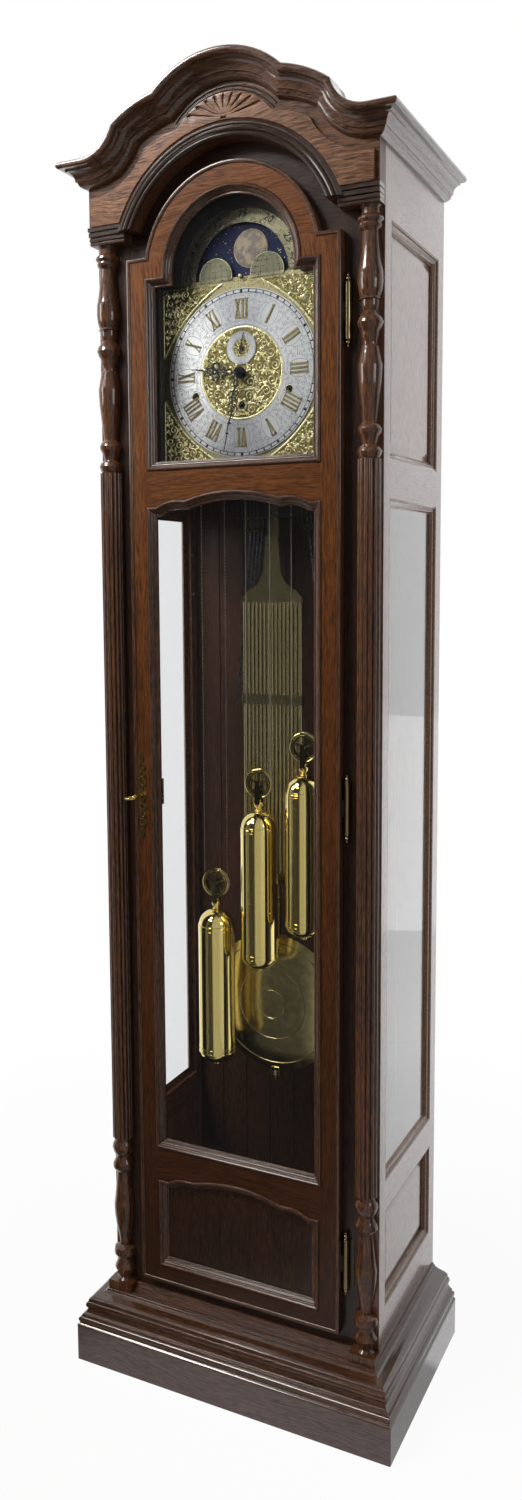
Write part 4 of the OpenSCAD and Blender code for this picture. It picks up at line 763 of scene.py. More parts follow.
def roman(text, height):
    """Strokes of a Roman numeral between its foot and its top, with full-width serifs."""
    foot, top, gap = NUMERAL_FOOT + 1, NUMERAL_TOP - 1, 0.8
    x = -(sum(LETTERS[letter][0] for letter in text) + gap * (len(text) - 1)) / 2
    parts = []
    for letter in text:
        width, strokes, top_serifs, foot_serifs = LETTERS[letter]
        middle = x + width / 2
        parts += [stroke(middle + a, top, middle + b, foot, thick, height) for a, b, thick in strokes]
        parts += [bar(x + a, top - 0.8, x + b, top + 1, height) for a, b in top_serifs]
        parts += [bar(x + a, foot - 1, x + b, foot + 0.8, height) for a, b in foot_serifs]
        x += width + gap
    return gathered(parts)


NUMERALS = ["XII", "I", "II", "III", "IIII", "V", "VI", "VII", "VIII", "IX", "X", "XI"]
numerals = gathered([
    laid(roman(text, 1.0), on_face(RING_FACE - 0.05, angle=30 * hour))
    for hour, text in enumerate(NUMERALS)
])
make("hour_numerals", numerals, numeral_bronze, "case", ease=0.00015)

marks = [laid(circle_line(radius, 0.9, 0.06, "flat", 180), on_face(RING_FACE)) for radius in (118, 122.8)]
for minute in range(60):
    put = on_face(RING_FACE, angle=6 * minute)
    if minute % 5:
        marks.append(laid(bar(-1.0, 118, 1.0, 122.8, 0.07), put))
    else:
        marks.append(laid(slab([(0, 116.8), (2.6, 120.4), (0, 124), (-2.6, 120.4)], 0.08), put))
for second in range(60):
    length = 2.6 if second % 5 == 0 else 1.5
    put = on_face(SECONDS_FACE, SECONDS_Z, angle=6 * second)
    marks.append(laid(bar(-0.16, 23.4 - length, 0.16, 23.4, 0.05), put))
make("minute_marks", gathered(marks), ink_black, "case")


def scroll(x, z, radius, start, hand, width, height, section, turns=1.3, steps=18):
    """A spiral tendril that curls inwards and ends in a bud."""
    path, widths = [], []
    for i in range(steps + 1):
        t = i / steps
        angle = start + hand * turns * tau * t
        reach = radius * (1 - 0.72 * t ** 0.85)
        path.append((x + reach * cos(angle), z + reach * sin(angle)))
        widths.append(width * (1.05 - 0.45 * t))
    parts = [strip(path, widths, height, section)]
    end = Vector(path[-1])
    bud = max(width * 0.75, radius * 0.2)
    parts.append(solid([[(end.x + bud * share * c, end.y + bud * share * s, height * rise)
                         for c, s in circle(8)] for share, rise in ((1, 0), (0.8, 0.8), (0.35, 1.15))]))
    return gathered(parts)


def leaf(x, z, length, angle, width, height, section):
    """A small curved leaf that swells and comes to a point."""
    path, widths = [], []
    for i in range(6):
        t = i / 5
        bend = angle + 0.9 * (t - 0.3)
        path.append((x + length * t * cos(bend), z + length * t * sin(bend)))
        widths.append(width * (0.35 + 1.5 * sin(pi * min(t * 0.85 + 0.1, 1))) if t < 1 else width * 0.15)
    return strip(path, widths, height, section)


def foliage(clearance, area, sizes, seed, width, height, section, leaves=3, fill=0.9):
    """Scrolls packed into an area of a dial, each springing from a neighbour, with leaves
    between them. clearance(x, z) is the distance from a point to the edge of the area."""
    dice = Random(seed)
    placed, parts = [], []
    for radius, tries in sizes:
        for _ in range(tries):
            x, z = dice.uniform(area[0], area[1]), dice.uniform(area[2], area[3])
            if clearance(x, z) < radius:
                continue
            if all(hypot(x - a, z - b) > (radius + r) * fill for a, b, r in placed):
                placed.append((x, z, radius))
    for index, (x, z, radius) in enumerate(placed):
        others = sorted((hypot(x - a, z - b) - r, a, b) for a, b, r in placed
                        if (a, b) != (x, z))
        start = atan2(others[0][2] - z, others[0][1] - x) if others else 0.0
        hand = 1 if index % 2 else -1
        slim = min(width, radius * 0.42)
        parts.append(scroll(x, z, radius * 0.93, start, hand, slim, height, section))
        for k in range(leaves):
            turned = start + hand * (1.0 + k * 1.9)
            parts.append(leaf(x + radius * 0.9 * cos(turned), z + radius * 0.9 * sin(turned),
                              radius * 0.62, turned + hand * 0.9, slim * 0.9, height * 0.85, section))
    return gathered(parts)


# Engraving of the chapter ring: one twelfth of the pattern lies between two numerals and is
# repeated round the ring, each time mirrored.
def between_numerals(x, z):
    radius = hypot(x, z)
    turn = atan2(x, z)
    near = turn - radians(15)
    edge = min(117.6 - radius, radius - 71)
    oval = []
    for side in (-1, 1):
        along, wide = radius - 95, radius * sin(near + side * radians(15))
        oval.append((hypot(along / 19.5, wide / 14.5) - 1) * 14.5)
    return min(edge, min(oval), (radians(15) - abs(near)) * radius)


twelfth = foliage(between_numerals, (2, 60, 50, 118), ((4.6, 900), (3.2, 900), (2.2, 900)),
                  5, 0.5, 0.05, "flat", 2, 1.05)
oval = [(13.2 * s, 95 + 19 * c) for c, s in circle(32) + [(1, 0)]]
engraving = []
for hour in range(12):
    put = on_face(RING_FACE, angle=30 * hour)
    engraving.append(laid(twelfth, put))
    engraving.append(laid(strip(oval, 0.6, 0.05, "flat"), put))
engraving.append(laid(circle_line(71.2, 0.5, 0.05), on_face(RING_FACE)))
engraving.append(laid(circle_line(116.6, 0.3, 0.05, sides=180), on_face(RING_FACE)))
for radius in (14.8, 23.8):
    engraving.append(laid(circle_line(radius, 0.3, 0.05), on_face(SECONDS_FACE, SECONDS_Z)))
for i in range(12):
    put = on_face(SECONDS_FACE, SECONDS_Z, angle=30 * i)
    engraving.append(laid(scroll(0, 18, 1.5, 0.5, 1 if i % 2 else -1, 0.35, 0.05, "flat", 1.0, 10), put))
make("ring_engraving", gathered(engraving), engraved_ink, "case")

# Gilt castings: a bright scrollwork of tendrils and leaves stands on a dark stippled ground.
# The centre has a plain rim; each corner piece has a bright edge all round.
gilt = metal("gilt_scrolls", (0.86, 0.79, 0.46), (0.6, 0.53, 0.26), 0.28, 260)
gilt_ground = metal("gilt_ground", (0.13, 0.105, 0.04), (0.05, 0.038, 0.014), 0.45, 500, 0.5, 0.0004)
dress("centre_disc", gilt_ground, 0.0002)
CENTRE_FACE = DIAL_FACE + 1


def inside_centre(x, z):
    radius = hypot(x, z)
    holes = min(hypot(x, z - 37) - 25.3, hypot(x, z + WINDING_DROP) - 7.6)
    return min(66.2 - radius, radius - 9, holes, abs(x) + 0.001)


half_centre = foliage(inside_centre, (0.4, 66, -66, 66),
                      ((9.4, 600), (7.6, 800), (5.6, 1200), (4, 1500), (2.8, 2000)),
                      11, 2.2, 1.1, "round", 3, 0.97)
put = on_face(CENTRE_FACE)
centre_work = [laid(half_centre, put), laid(half_centre, on_face(CENTRE_FACE, mirror=True))]
centre_work.append(laid(circle_line(67.5, 3.4, 0.9, "round", 128), put))
centre_work.append(laid(circle_line(7.6, 1.2, 0.6, "round", 48), on_face(CENTRE_FACE, DIAL_Z - WINDING_DROP)))
seconds_work = foliage(lambda x, z: min(13.2 - hypot(x, z), hypot(x, z) - 3.4),
                       (-13, 13, -13, 13), ((3.6, 400), (2.4, 600), (1.6, 900)), 3, 0.9, 0.5, "round", 3)
centre_work.append(laid(seconds_work, on_face(CENTRE_FACE, SECONDS_Z)))
centre_work.append(laid(circle_line(13.4, 0.9, 1.0, "round", 48), on_face(CENTRE_FACE, SECONDS_Z)))
make("centre_scrollwork", gathered(centre_work), gilt, "case")

ARC_CENTRE, ARC_R, CORNER = 68.0, 225.5, 134.6


def arc_point(share):
    """A point on the hollow edge of a corner piece, from its upper tip to its lower tip."""
    reach = asin((CORNER + ARC_CENTRE - 0.8) / ARC_R)
    angle = (pi / 2 - reach) + (2 * reach - pi / 2) * (1 - share)
    return ARC_R * cos(angle) - ARC_CENTRE, ARC_R * sin(angle) - ARC_CENTRE


edge = [arc_point(i / 24) for i in range(25)]
corner_outline = edge + [(CORNER, edge[-1][1]), (CORNER, CORNER), (edge[0][0], CORNER)]
corner_plate = slab(corner_outline, 0.7)


def inside_corner(x, z):
    hollow = hypot(x + ARC_CENTRE, z + ARC_CENTRE) - ARC_R
    return min(hollow - 3.0, CORNER - 1.6 - x, CORNER - 1.6 - z)


corner_scrolls = foliage(inside_corner, (20, CORNER, 20, CORNER),
                         ((8, 300), (6.2, 700), (4.8, 900), (3.4, 1500), (2.4, 2500)),
                         23, 1.9, 1.1, "round", 3, 0.97)
corner_rim = gathered([
    strip(edge, 3.0, 1.0),
    strip([(edge[0][0], CORNER - 0.7), (CORNER - 0.2, CORNER - 0.7)], 1.3, 0.8),
    strip([(CORNER - 0.7, edge[-1][1]), (CORNER - 0.7, CORNER - 0.2)], 1.3, 0.8),
])
grounds, scrolls = [], []
for k in range(4):
    grounds.append(laid(corner_plate, on_face(DIAL_FACE, angle=90 * k)))
    put = on_face(DIAL_FACE + 0.65, angle=90 * k)
    scrolls += [laid(corner_scrolls, put), laid(corner_rim, put)]
corners = make("corner_grounds", gathered(grounds), gilt_ground, "case")
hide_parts("spandrels")
make("corner_scrollwork", gathered(scrolls), gilt, "case")

# Lunar arc: a gilt band with the days of the moon's month in black over a fine scale, and the
# two engraved humps behind which the moon comes and goes.
arc_gilt = metal("gilt_lunar_arc", (0.23, 0.208, 0.128), (0.15, 0.137, 0.08), 0.3, 300, 0.15)
dress("lunar_arch", arc_gilt, 0.0002)
ARC_FACE = DIAL_FACE + 1
lines = [laid(circle_line(radius, 0.35, 0.06, "flat", 128, -88, 176), on_face(ARC_FACE, MOON_Z))
         for radius in (79.3, 83.6)]
for i in range(60):
    put = on_face(ARC_FACE, MOON_Z, angle=-84 + 168 * i / 59)
    lines.append(laid(bar(-0.22, 79.6, 0.22, 79.6 + (3.6 if i % 2 else 2.0), 0.06), put))


def figures(text, size, put, lean=0.25, thick=0.06, bold=0.3):
    """Figures of a number, centred and upright on the place that put gives."""
    words = bpy.data.curves.new("figures", "FONT")
    words.body, words.size, words.shear, words.extrude = text, size, lean, thick / 2
    words.align_x, words.resolution_u, words.offset = "CENTER", 4, bold
    holder = added("figures", words)
    bpy.context.view_layer.update()
    mesh = bpy.data.meshes.new_from_object(holder.evaluated_get(bpy.context.evaluated_depsgraph_get()))
    points = [(v.co.x, v.co.y, v.co.z + thick / 2) for v in mesh.vertices]
    shape = put(points), [tuple(face.vertices) for face in mesh.polygons]
    bpy.data.objects.remove(holder)
    bpy.data.curves.remove(words)
    bpy.data.meshes.remove(mesh)
    return shape


for day, text in ((5, "5"), (10, "10"), (15, "15"), (20, "20"), (25, "25"), (29.5, "29½")):
    angle = -84 + 168 * day / 29.5 - (2 if day > 29 else 0)
    offset = on_face(ARC_FACE, MOON_Z, angle=angle)
    lines.append(figures(text, 15.5, lambda points: offset([(x, z + 85.2, h) for x, z, h in points])))
hump_olive = metal("hump_olive", (0.13, 0.125, 0.08), (0.075, 0.072, 0.047), 0.35, 300, 0.2)
humps = []
HUMP_R, HUMP_TURN = 26, 43
for side in (-1, 1):
    loop = [(26.6 * sin(radians(a)), 26.6 * cos(radians(a))) for a in range(-97, 98, 6)]
    humps.append(laid(slab(loop, 0.1), on_face(DIAL_FACE + 1.18, MOON_Z + 3, side * HUMP_TURN)))
    put = on_face(DIAL_FACE + 1.28, MOON_Z + 3, side * HUMP_TURN)
    for share in (0.0, 0.42, 0.78):
        for turned in ((-1, 1) if share else (1,)):
            bow = [(turned * share * HUMP_R * sqrt(max(0, 1 - (k / 27) ** 2)), k) for k in range(-6, 27)]
            lines.append(laid(strip(bow, 0.45, 0.05, "flat"), put))
    for level in (0, 8, 16, 22):
        reach = sqrt(HUMP_R ** 2 - level ** 2)
        lines.append(laid(bar(-reach, level - 0.2, reach, level + 0.2, 0.05), put))
make("lunar_numbers", gathered(lines), ink_black, "case")
hump_rims = gathered([
    laid(circle_line(27.2, 1.1, 0.6, "round", 64, -98, 196),
         on_face(DIAL_FACE + 1.15, MOON_Z + 3, side * HUMP_TURN)) for side in (-1, 1)
])
make("hump_rims", hump_rims, gilt, "case")
make("hump_faces", gathered(humps), hump_olive, "case")

# Winding holes: each has a turned brass collar round a black ring that frames the steel square. The black
# ring is painted shade, standing for the shade inside the hole; the square itself is painted near black on
# the drum.
collars, hole_shades = [], []
for x, drop, face in ((-79, 29.5, RING_FACE), (79, 29.5, RING_FACE), (0, WINDING_DROP, CENTRE_FACE)):
    put = on_face(face, DIAL_Z - drop, x)
    collars.append(laid(circle_line(6.1, 1.1, 0.8, "round", 40), put))
    hole_shades.append(laid(circle_line(4.5, 2.6, 0.25, "flat", 40), on_face(face - 0.1, DIAL_Z - drop, x)))
make("winding_collars", gathered(collars), gilt, "case")
make("winding_hole_shades", gathered(hole_shades), ink_black, "case")

# Hands: sawn from steel sheet, pierced, domed at the edges and enamelled black. The pipes and
# the little wheels of the motion work behind the dial are part of them.
hand_black = enamel("black_hands", 90, 3.0, (0.004, 0.004, 0.005), (0.02, 0.019, 0.02), (0.16, 0.3),
                    **{"Coat Weight": 0.6})
HOUR_ANGLE, MINUTE_ANGLE = 277.3, 192.0
BOLD, SHEET = 1.5, 1.3


def ring_line(x, z, radius, width, height=SHEET, sides=28, squeeze=1.0, lean=0.0):
    """A closed half round ring, squeezed across and leaning by an angle."""
    rows = []
    for cosine, sine in circle(sides):
        row = []
        for across, up in ((-1, 0), (-0.8, 0.62), (0, 1), (0.8, 0.62), (1, 0)):
            reach = radius + across * width * BOLD / 2
            u, v = reach * cosine * squeeze, reach * sine
            c, s = cos(lean), sin(lean)
            row.append((x + u * c - v * s, z + u * s + v * c, up * height))
        rows.append(row)
    return skin(rows)


def tapered(path, widths, height=SHEET):
    return strip(path, [width * BOLD for width in widths], height)


def tube(radius, bore, start, end, sides=40):
    """A turned collar from start to end, as flat (x, z, height) rings."""
    return skin([[(reach * c, reach * s, h) for c, s in circle(sides)]
                 for reach, h in ((bore, start), (radius, start), (radius, end), (bore, end))])


def toothed(teeth, pitch, bore, start, end, turned=0.0):
    """A toothed wheel whose working circle has the radius pitch."""
    depth = 2.0 * pitch / teeth
    outline = [(pitch + depth * reach, turned + (i + share) * tau / teeth) for i in range(teeth)
               for share, reach in ((-0.25, -1.1), (-0.12, 0.8), (0.12, 0.8), (0.25, -1.1))]
    hole = [(bore, a) for reach, a in outline]
    return skin([[(reach * cos(a), reach * sin(a), h) for reach, a in loop]
                 for loop, h in ((hole, start), (outline, start), (outline, end), (hole, end))])


HOUR_DEPTH, MINUTE_DEPTH = DIAL_FACE + 8, DIAL_FACE + 14
PLATE_FACE, GEAR = 237, 2.4
hour_lace = [
    tube(8.8, 3.05, 0, SHEET), ring_line(0, 0, 6.2, 1.0, SHEET + 0.7, 40),
    ring_line(0, 18.2, 4.6, 1.9, squeeze=0.8), ring_line(0, 8.9, 1.9, 1.6, sides=16),
    tapered([(-3.4, 25.4), (0, 26.8), (3.4, 25.4)], [0.8, 2.6, 0.8]),
    tapered([(0, 22), (0, 36)], [2.2, 1.9]), ring_line(0, 31.5, 2.4, 1.5, sides=18),
    ring_line(7.2, 40.5, 5.2, 2.1), ring_line(-7.2, 40.5, 5.2, 2.1),
    ring_line(0, 50.6, 5.0, 2.0, squeeze=0.85), ring_line(0, 41.5, 3.0, 1.8, sides=20),
    tapered([(0, 55), (0, 62), (0, 66), (0, 84)], [1.8, 2.8, 1.7, 0.5]),
]
for path, widths in (
    ([(1.6, 46), (7, 50), (8.6, 47.6)], [1.6, 1.8, 0.7]),
    ([(2, 36), (8, 33), (10.6, 34.6)], [1.6, 1.8, 0.7]),
    ([(12.2, 39), (14.2, 42), (12.6, 45)], [0.7, 1.8, 0.6]),
    ([(2.6, 55), (4.6, 58.4), (2.4, 60)], [1.4, 1.6, 0.5]),
):
    hour_lace += [tapered([(sign * x, z) for x, z in path], widths) for sign in (-1, 1)]
gear_start = PLATE_FACE + GEAR + 0.6 - HOUR_DEPTH
hour_lace += [
    tube(4.6, 3.05, 241.8 - HOUR_DEPTH, 1),
    toothed(40, 14.4, 3.05, gear_start, gear_start + GEAR, radians(30)),
]
hour_piece = make("hour_hand_pierced", laid(gathered(hour_lace), on_face(HOUR_DEPTH, angle=HOUR_ANGLE)),
                  hand_black, "hour")
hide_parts("hour_hand")

wave = [(2.6 * sin((r - 24) / 36 * tau * 0.75) * (1 - (r - 24) / 90), r) for r in range(24, 121, 3)]
minute_lace = [
    tube(7.2, 1.95, 0, SHEET), ring_line(0, 0, 4.8, 1.0, SHEET + 0.6, 36),
    ring_line(0, 16.6, 5.4, 2.0, squeeze=0.62), ring_line(-3.6, 31, 3.1, 1.4, sides=20),
    ring_line(3.8, 41, 3.3, 1.4, SHEET, 20, 0.8, 0.4), ring_line(-2.7, 50, 2.6, 1.2, sides=18),
    tapered(wave, [2.3 - 1.7 * i / (len(wave) - 1) for i in range(len(wave))]),
]
for path, widths in (
    ([(0, 6), (0, 10.6)], [3, 2.2]),
    ([(0, 22), (0, 26)], [2.4, 2.2]),
    ([(0.4, 27), (5, 30), (5.6, 33.6)], [1.2, 1.8, 0.5]),
    ([(1, 46), (5.4, 49.6), (5.2, 53)], [1.2, 1.7, 0.5]),
    ([(-1.4, 38), (-5.6, 40.4), (-6, 44)], [1.2, 1.7, 0.5]),
    ([(0.2, 58), (4.4, 60), (4, 63.4)], [1.1, 1.6, 0.5]),
    ([(-1.2, 62), (-4.8, 65), (-4.2, 68.6)], [1.1, 1.5, 0.5]),
    ([(-4.6, 77), (-1.2, 75.4), (2.6, 77)], [0.5, 2.6, 0.5]),
    ([(-3.0, 92.5), (0, 90.6), (3.0, 92.5)], [0.5, 2.2, 0.5]),
):
    minute_lace.append(tapered(path, widths))
gear_start = PLATE_FACE - MINUTE_DEPTH
minute_lace += [
    tube(3, 0.2, gear_start, 1), tube(4.2, 0.2, SHEET - 0.1, 4.2, 6),
    tube(2, 0.2, 165.5 - MINUTE_DEPTH, 5, 20),
    toothed(15, 4.5, 0.2, gear_start, gear_start + GEAR),
]
minute_piece = make("minute_hand_pierced",
                    laid(gathered(minute_lace), on_face(MINUTE_DEPTH, angle=MINUTE_ANGLE)),
                    hand_black, "minute")
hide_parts("minute_hand")
dress("seconds_hand", hand_black, 0.0001)

# Moon disc: enamelled midnight blue, strewn with small gold stars, with two moons as thin
# domed shells whose plains and craters are stained grey-brown. It turns on a brass-capped stud.
night = enamel("night_blue", 22, 4.0, (0.003, 0.006, 0.03), (0.008, 0.014, 0.055), (0.4, 0.6), (0.3, 0.7),
               **{"Specular IOR Level": 0.08})
dress("moon_disc", night, 0.0002)
DISC_FACE, DISC_R, MOON_R, MOON_X, MOON_UP = 246, 82, 27.5, 13.5, 40.0
dice = Random(31)
stars = []
while len(stars) < 150:
    x, z = dice.uniform(-DISC_R, DISC_R), dice.uniform(-DISC_R, DISC_R)
    away = min(hypot(x - s * MOON_X, z - s * MOON_UP) for s in (-1, 1))
    if not 7 <= hypot(x, z) <= DISC_R - 1 or away < MOON_R + 1.5:
        continue
    size = dice.choice((0.5, 0.6, 0.7, 1.1))
    turned = dice.uniform(0, tau)
    rays = []
    for k in range(10):
        reach = size * (0.38 if k % 2 else 1)
        rays.append((x + reach * cos(turned + k * pi / 5), z + reach * sin(turned + k * pi / 5)))
    stars.append(laid(slab(rays, 0.08), on_face(DISC_FACE, MOON_Z)))
star_gold = metal("gold_stars", (0.9, 0.74, 0.36), (0.6, 0.45, 0.18), 0.3, 500, 0)
make("gold_stars", gathered(stars), star_gold, "moon")

craters = []
while len(craters) < 46:
    x, z, r = dice.uniform(-25, 25), dice.uniform(-25, 25), dice.choice((1.2, 1.6, 2.1, 2.9, 4.2))
    if hypot(x, z) < MOON_R - r:
        craters.append((x, z, r))
loops = []
for ring in range(24, -1, -1):
    loop = []
    for c, s in circle(72):
        x, z = MOON_R * ring / 24 * c, MOON_R * ring / 24 * s
        h = 0.75 * sqrt(max(0.0, 1 - (ring / 24) ** 2)) + 0.2
        for cx, cz, r in craters:
            t = hypot(x - cx, z - cz) / r
            h += 0.16 * exp(-((t - 1) / 0.22) ** 2) - 0.2 * exp(-(t / 0.75) ** 4)
        loop.append((x, z, h if ring < 24 else 0.0))
    loops.append(loop)
moons = gathered([laid(skin(loops, True), on_face(DISC_FACE - 0.02, MOON_Z + s * MOON_UP, s * MOON_X))
                  for s in (1, -1)])
moon_stain, tree, shader = new_material("moon_plains")
spot = place(tree)[0]
plains = spread(noise(spot, 75, 5.0, 0.66), 0.42, 0.56)
speck = spread(noise(spot, 420, 3.0, 0.7), 0.35, 0.65)
ground = blend_colours(plains, (0.3, 0.225, 0.12), (0.07, 0.042, 0.03))
feed(shader, {"Base Color": blend_colours(sums("MULTIPLY", speck, 0.4), ground, (0.17, 0.12, 0.07)),
              "Roughness": spread(speck, 0, 1, 0.45, 0.6)})
make("cratered_moons", moons, moon_stain, "moon", 60)
rims = gathered([
    laid(circle_line(MOON_R, 0.7, 0.35, "round", 72), on_face(DISC_FACE, MOON_Z + s * MOON_UP, s * MOON_X))
    for s in (1, -1)
])
make("moon_rims", rims, star_gold, "moon")
knob = [(0.02, 5.0), (1.6, 4.8), (2.7, 3.9), (3.0, 2.7), (2.5, 1.6), (1.7, 1.0), (1.7, -1.0)]
loops = [[(reach * c, reach * s, h) for c, s in circle(24)] for reach, h in knob]
make("moon_knob", laid(solid(loops), on_face(DIAL_FACE + 2, MOON_Z)), star_gold, "moon")

# Pendulum: a steel rod behind a grid of thin brass tubes with a flared head, and a large lens
# of spun brass. It hangs deep in the dark trunk; its lacquer has dulled to olive.
dull_brass = metal("brass_pendulum", (0.34, 0.29, 0.15), (0.2, 0.165, 0.08), 0.22, 160, 0.1)
grid_brass = metal("brass_grid", (0.4, 0.335, 0.17), (0.34, 0.28, 0.14), 0.22, 1200, 0)
dress("pendulum_grid", grid_brass, 0.0002, 50)
dress("pendulum_rod", dull_brass, 0.0005)
dress("pendulum_bob", metal("brass_bob", (0.66, 0.56, 0.27), (0.4, 0.32, 0.13), 0.2, 90, 0.04), 0.001, 50)
PENDULUM_DEPTH, BOB_Z = 140, 600.0
bob_lines = [laid(circle_line(radius, 1.6, 1.2, "round"), on_face(PENDULUM_DEPTH + rise, BOB_Z))
             for radius, rise in ((104, 6.2), (60, 12.6), (24, 16.4))]
make("bob_rings", gathered(bob_lines), dull_brass, "pendulum")

# Weights: polished brass shells with domed ends, a turned bead under the stirrup and fine
# seam rings at both ends; above each weight's top the colour is painted dark, as shade round the stirrup.
# Each stirrup holds a spoked pulley with bright rims.
POLISHED = (0.86, 0.7, 0.26), (0.74, 0.55, 0.17), 0.04, 30, 0
bright_brass = metal("brass_weights", *POLISHED)
# The pulley wheels' dark brass is partly real tarnish and partly painted shade.
pulley_brass = metal("brass_pulleys", (0.3, 0.25, 0.11), (0.18, 0.14, 0.055), 0.16, 120, 0.1)
cable_steel = metal("steel_cable", (0.55, 0.5, 0.4), (0.32, 0.28, 0.2), 0.35, 900, 0.4)
WEIGHT_DEPTH, WEIGHT_R = 200, 30
PULLEY_Z = (810.0, 981.0, 1044.0)
HANG, DOME, SHELL = 43.5, 27, 215


def turned_piece(profile, x, depth, z, sides=64):
    """A turned piece on an upright axis from (radius, height) points in mm."""
    return solid([[at(x + reach * c, depth - reach * s, z + h) for c, s in circle(sides)]
                  for reach, h in profile])


NECK_BEAD = [(5.2, -1.5), (6.4, 0), (5.0, 1.4), (3.4, 2.4), (3.2, 3.2), (5.4, 4.4), (7.0, 6.6), (7.4, 9),
             (7.0, 11.4), (5.4, 13.4), (3.4, 14.6), (3.0, 15.6), (4.4, 16.4), (4.4, 17.4), (2.0, 18.2)]
SEAM = ((-0.4, -1.3), (0.45, -0.9), (0.75, 0), (0.45, 0.9), (-0.4, 1.3))
SEAM_RING = [(WEIGHT_R + more, h) for more, h in SEAM]
for side, x, pulley_z in zip(SIDES, WEIGHT_X, PULLEY_Z):
    top, body = pulley_z - HANG, "weight_" + side
    # Above the weight's top the brass is painted dark, as shade round the stirrup.
    dress(body, metal("brass_" + body, *POLISHED, shaded_above=(top + 2) / 1000), 0.0003, 24)
    dress("pulley_" + side, pulley_brass, 0.0002, 50)
    shoulder = top - DOME
    seams = [turned_piece(SEAM_RING, x, WEIGHT_DEPTH, level)
             for level in (shoulder, shoulder - 7, shoulder - SHELL + 7, shoulder - SHELL)]
    make("seam_rings_" + side, gathered(seams), bright_brass, body)
    rims = []
    # The rims and hub ring are raised beads in bright brass, partly painted highlight on the pulley's edges.
    for way in (1, -1):
        put = on_face(WEIGHT_DEPTH + way * 3.3, pulley_z, x)
        rims += [laid(circle_line(22.7, 1.3, way * 0.7, "round", 64), put),
                 laid(circle_line(19.2, 0.7, way * 0.7, "round", 64), put)]
    rims.append(laid(circle_line(3.6, 1.8, 0.6, "round", 32), on_face(WEIGHT_DEPTH + 5.1, pulley_z, x)))
    make("pulley_rims_" + side, gathered(rims), bright_brass, "pulley_" + side)
    neck = turned_piece(NECK_BEAD, x, WEIGHT_DEPTH, top, 40)
    make("neck_bead_" + side, neck, bright_brass, body, 50)

# Cables: twisted steel, from the drum through the board, round the pulley and up to a pin. The
# turn under the pulley goes with the weight.
CABLE_LINE_R, CABLE_R, SEAT_TOP = 21, 0.7, 1477.5


def cable_run(x, low, high, steps=120):
    """A straight run of cable: three strands twisted round each other."""
    rows = []
    for i in range(steps + 1):
        z = low + (high - low) * i / steps
        row = []
        for k in range(9):
            reach, a = CABLE_R * (1 + 0.14 * cos(3 * k * tau / 9)), tau * k / 9 + z * 0.6
            row.append(at(x + reach * cos(a), WEIGHT_DEPTH - reach * sin(a), z))
        rows.append(row)
    return solid(rows)


for side, x, pulley_z, arbor_z in zip(SIDES, WEIGHT_X, PULLEY_Z, ARBOR_Z):
    body = "weight_" + side
    runs = gathered([cable_run(x - CABLE_LINE_R, pulley_z, arbor_z),
                     cable_run(x + CABLE_LINE_R, pulley_z, SEAT_TOP)])
    strands = make("cable_runs_" + side, runs, cable_steel, None, 80)
    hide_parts("cable_" + side)
    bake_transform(strands)
    rows = []
    for i in range(25):
        a = pi + pi * i / 24
        rows.append([at(x + (CABLE_LINE_R + CABLE_R * c) * cos(a), WEIGHT_DEPTH - CABLE_R * s,
                        pulley_z + (CABLE_LINE_R + CABLE_R * c) * sin(a)) for c, s in circle(9)])
    make("cable_turn_" + side, solid(rows), cable_steel, body, 80)

# Chimes: blued steel rods in a black cast block, struck by brass-headed hammers on one arbor.
blued = metal("steel_blued", (0.07, 0.08, 0.1), (0.03, 0.032, 0.04), 0.25, 200, 0.1)
cast_iron = metal("iron_black", (0.05, 0.05, 0.052), (0.02, 0.02, 0.02), 0.5, 300, 0.6, 0.0006)
dress("chime_rods", blued, 0)
dress("chime_block", cast_iron, 0.001)
# The hammer brass is painted dark: painted shade, so that they stay dim in the case.
dress("hammers", metal("brass_hammers", (0.1, 0.08, 0.035), (0.05, 0.04, 0.02), 0.35, 200), 0.0002, 50)

# Door: frame of tenoned oak with two windows and a raised panel, mouldings round each opening
# and a bead round the edge. It is the warmest wood of the clock, and catches the most light; painted shade
# darkens its colour towards the foot, and its raised panel is stained darker, partly as painted shade.
RAILS = [(0.145, 0.14, 0.178), (0.145, 0.324, 0.381), (0.145, 1.417, 1.474), (1, 1.79, 2)]
MOULDING_STAIN = (0.13, 0.052, 0.021)
# painted_foot_shade paints shade that darkens the door towards its foot.
door_oak = oak("door", 18.5, (0.22, 0.073, 0.018), (0.075, 0.026, 0.008), RAILS, gloss=0.3, sheen=0.12,
               painted_foot_shade=0.78)
dress("door_frame", door_oak)
dress("door_mouldings", oak("door_mouldings", 19.4, MOULDING_STAIN, rails=RAILS), 0.0002, 24)
# The raised panel is stained darker, partly as painted shade of the lower door.
dress("door_panel", oak("door_panel", 21.1, (0.05, 0.02, 0.01), (0.014, 0.006, 0.003), gloss=0.3), 0.0006)
moulding_beads = []
for opening_foot in (1473, 380, 177):
    for inset, height, radius in ((8.3, -3.0, 1.9), (11.5, -5.7, 0.9), (13.2, -6.3, 0.7)):
        moulding_beads.append(solid([
            [at(end * (145 - inset), 291.4 + height - radius * c, opening_foot + inset + radius * s)
             for c, s in circle(12)] for end in (-1, 1)
        ]))
bead_wood = oak("moulding_beads", 19.9, MOULDING_STAIN, rails=ALL_LEVEL, gloss=1)
make("moulding_beads", gathered(moulding_beads), bead_wood, "door")
for name in ("dial_glass", "trunk_glass"):
    dress(name, clear_glass, 0.0004)

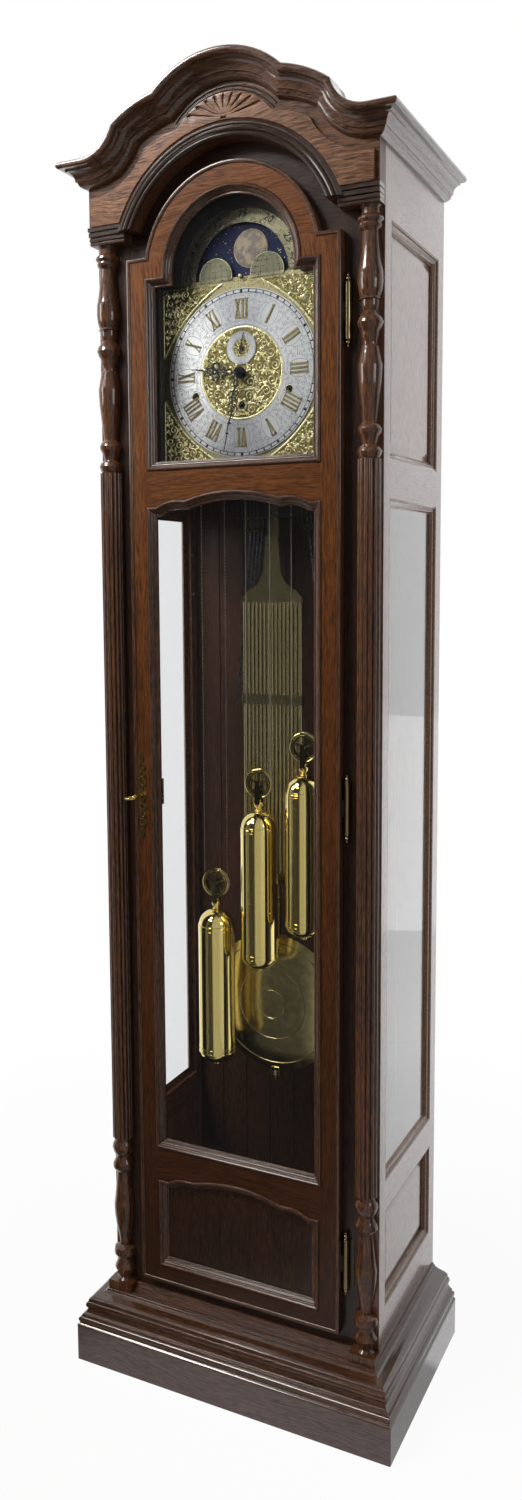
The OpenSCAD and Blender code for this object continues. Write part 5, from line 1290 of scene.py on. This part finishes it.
# Fittings: brass hinges with turned finials between case and door, and the door's lock, key and
# pierced escutcheon. They are let into the wood, lacquered and a little dark with age; the hinges are darker
# still, painted shade of the gap between door and case, and beside the barrel their leaves are painted dark
# brown and not metal, also painted shade.
fitting_brass = metal("brass_fittings", (0.5, 0.36, 0.13), (0.26, 0.17, 0.06), 0.24, 200, 0.15)
hinge_brass = metal("brass_hinges", (0.24, 0.19, 0.095), (0.14, 0.105, 0.05), 0.16, 200, 0.1)
HINGE_X, HINGE_DEPTH = 184.3, 284
base = hinge_brass.node_tree.nodes["Principled BSDF"].inputs["Base Color"]
parts = place(hinge_brass.node_tree)
away = apart(parts[1], parts[2], HINGE_X, 1000 * out(HINGE_DEPTH))
# Painted shade: beyond the barrel the leaves are dark brown and not metal, standing for the shaded gap.
leaf_shade_mask = spread(away, 0.0044, 0.0048)
feed(base.node, {"Base Color": blend_colours(leaf_shade_mask, base.links[0].from_socket, (0.05, 0.022, 0.01)),
                 "Metallic": sums("SUBTRACT", 1, leaf_shade_mask)})
for name in ("hinge_leaves_case", "hinge_leaves_door", "hinge_pins"):
    dress(name, hinge_brass, 0.0002, 50)
dress("escutcheon", fitting_brass, 0.0002)
dress("door_key", fitting_brass, 0.0002, 50)
dress("lock_case", bare_steel, 0.0003)
dress("lock_bolt", bare_steel, 0.0002)

# Screws: bright cross-head screws hold the back to the rear stiles of the sides; two show on
# each side through the door. Their domed heads sit on the wood. The cross in each head is a black solid:
# painted shade standing for the shaded slot.
screw_steel = metal("steel_screws", (0.75, 0.78, 0.85), (0.5, 0.52, 0.58), 0.2, 300, 0)
heads, slot_shades = [], []
STILE_X, SCREW_DEPTH = 216, 20
for sign in (-1, 1):
    for level in (1282, 1351):
        heads.append(solid([
            [at(sign * (STILE_X - rise), SCREW_DEPTH - reach * c, level + reach * s) for c, s in circle(20)]
            for reach, rise in ((3.6, 0), (3.4, 0.9), (2.4, 1.7), (0.8, 2.0))
        ]))
        for wide, tall in ((2.2, 0.4), (0.4, 2.2)):
            slot_shades.append(solid([
                [at(sign * (STILE_X - rise), SCREW_DEPTH + a * wide, level + b * tall)
                 for a, b in ((-1, -1), (1, -1), (1, 1), (-1, 1))] for rise in (1, 2.06)
            ]))
make("screw_heads", gathered(heads), screw_steel, "case")
make("screw_slot_shades", gathered(slot_shades), ink_black, "case")
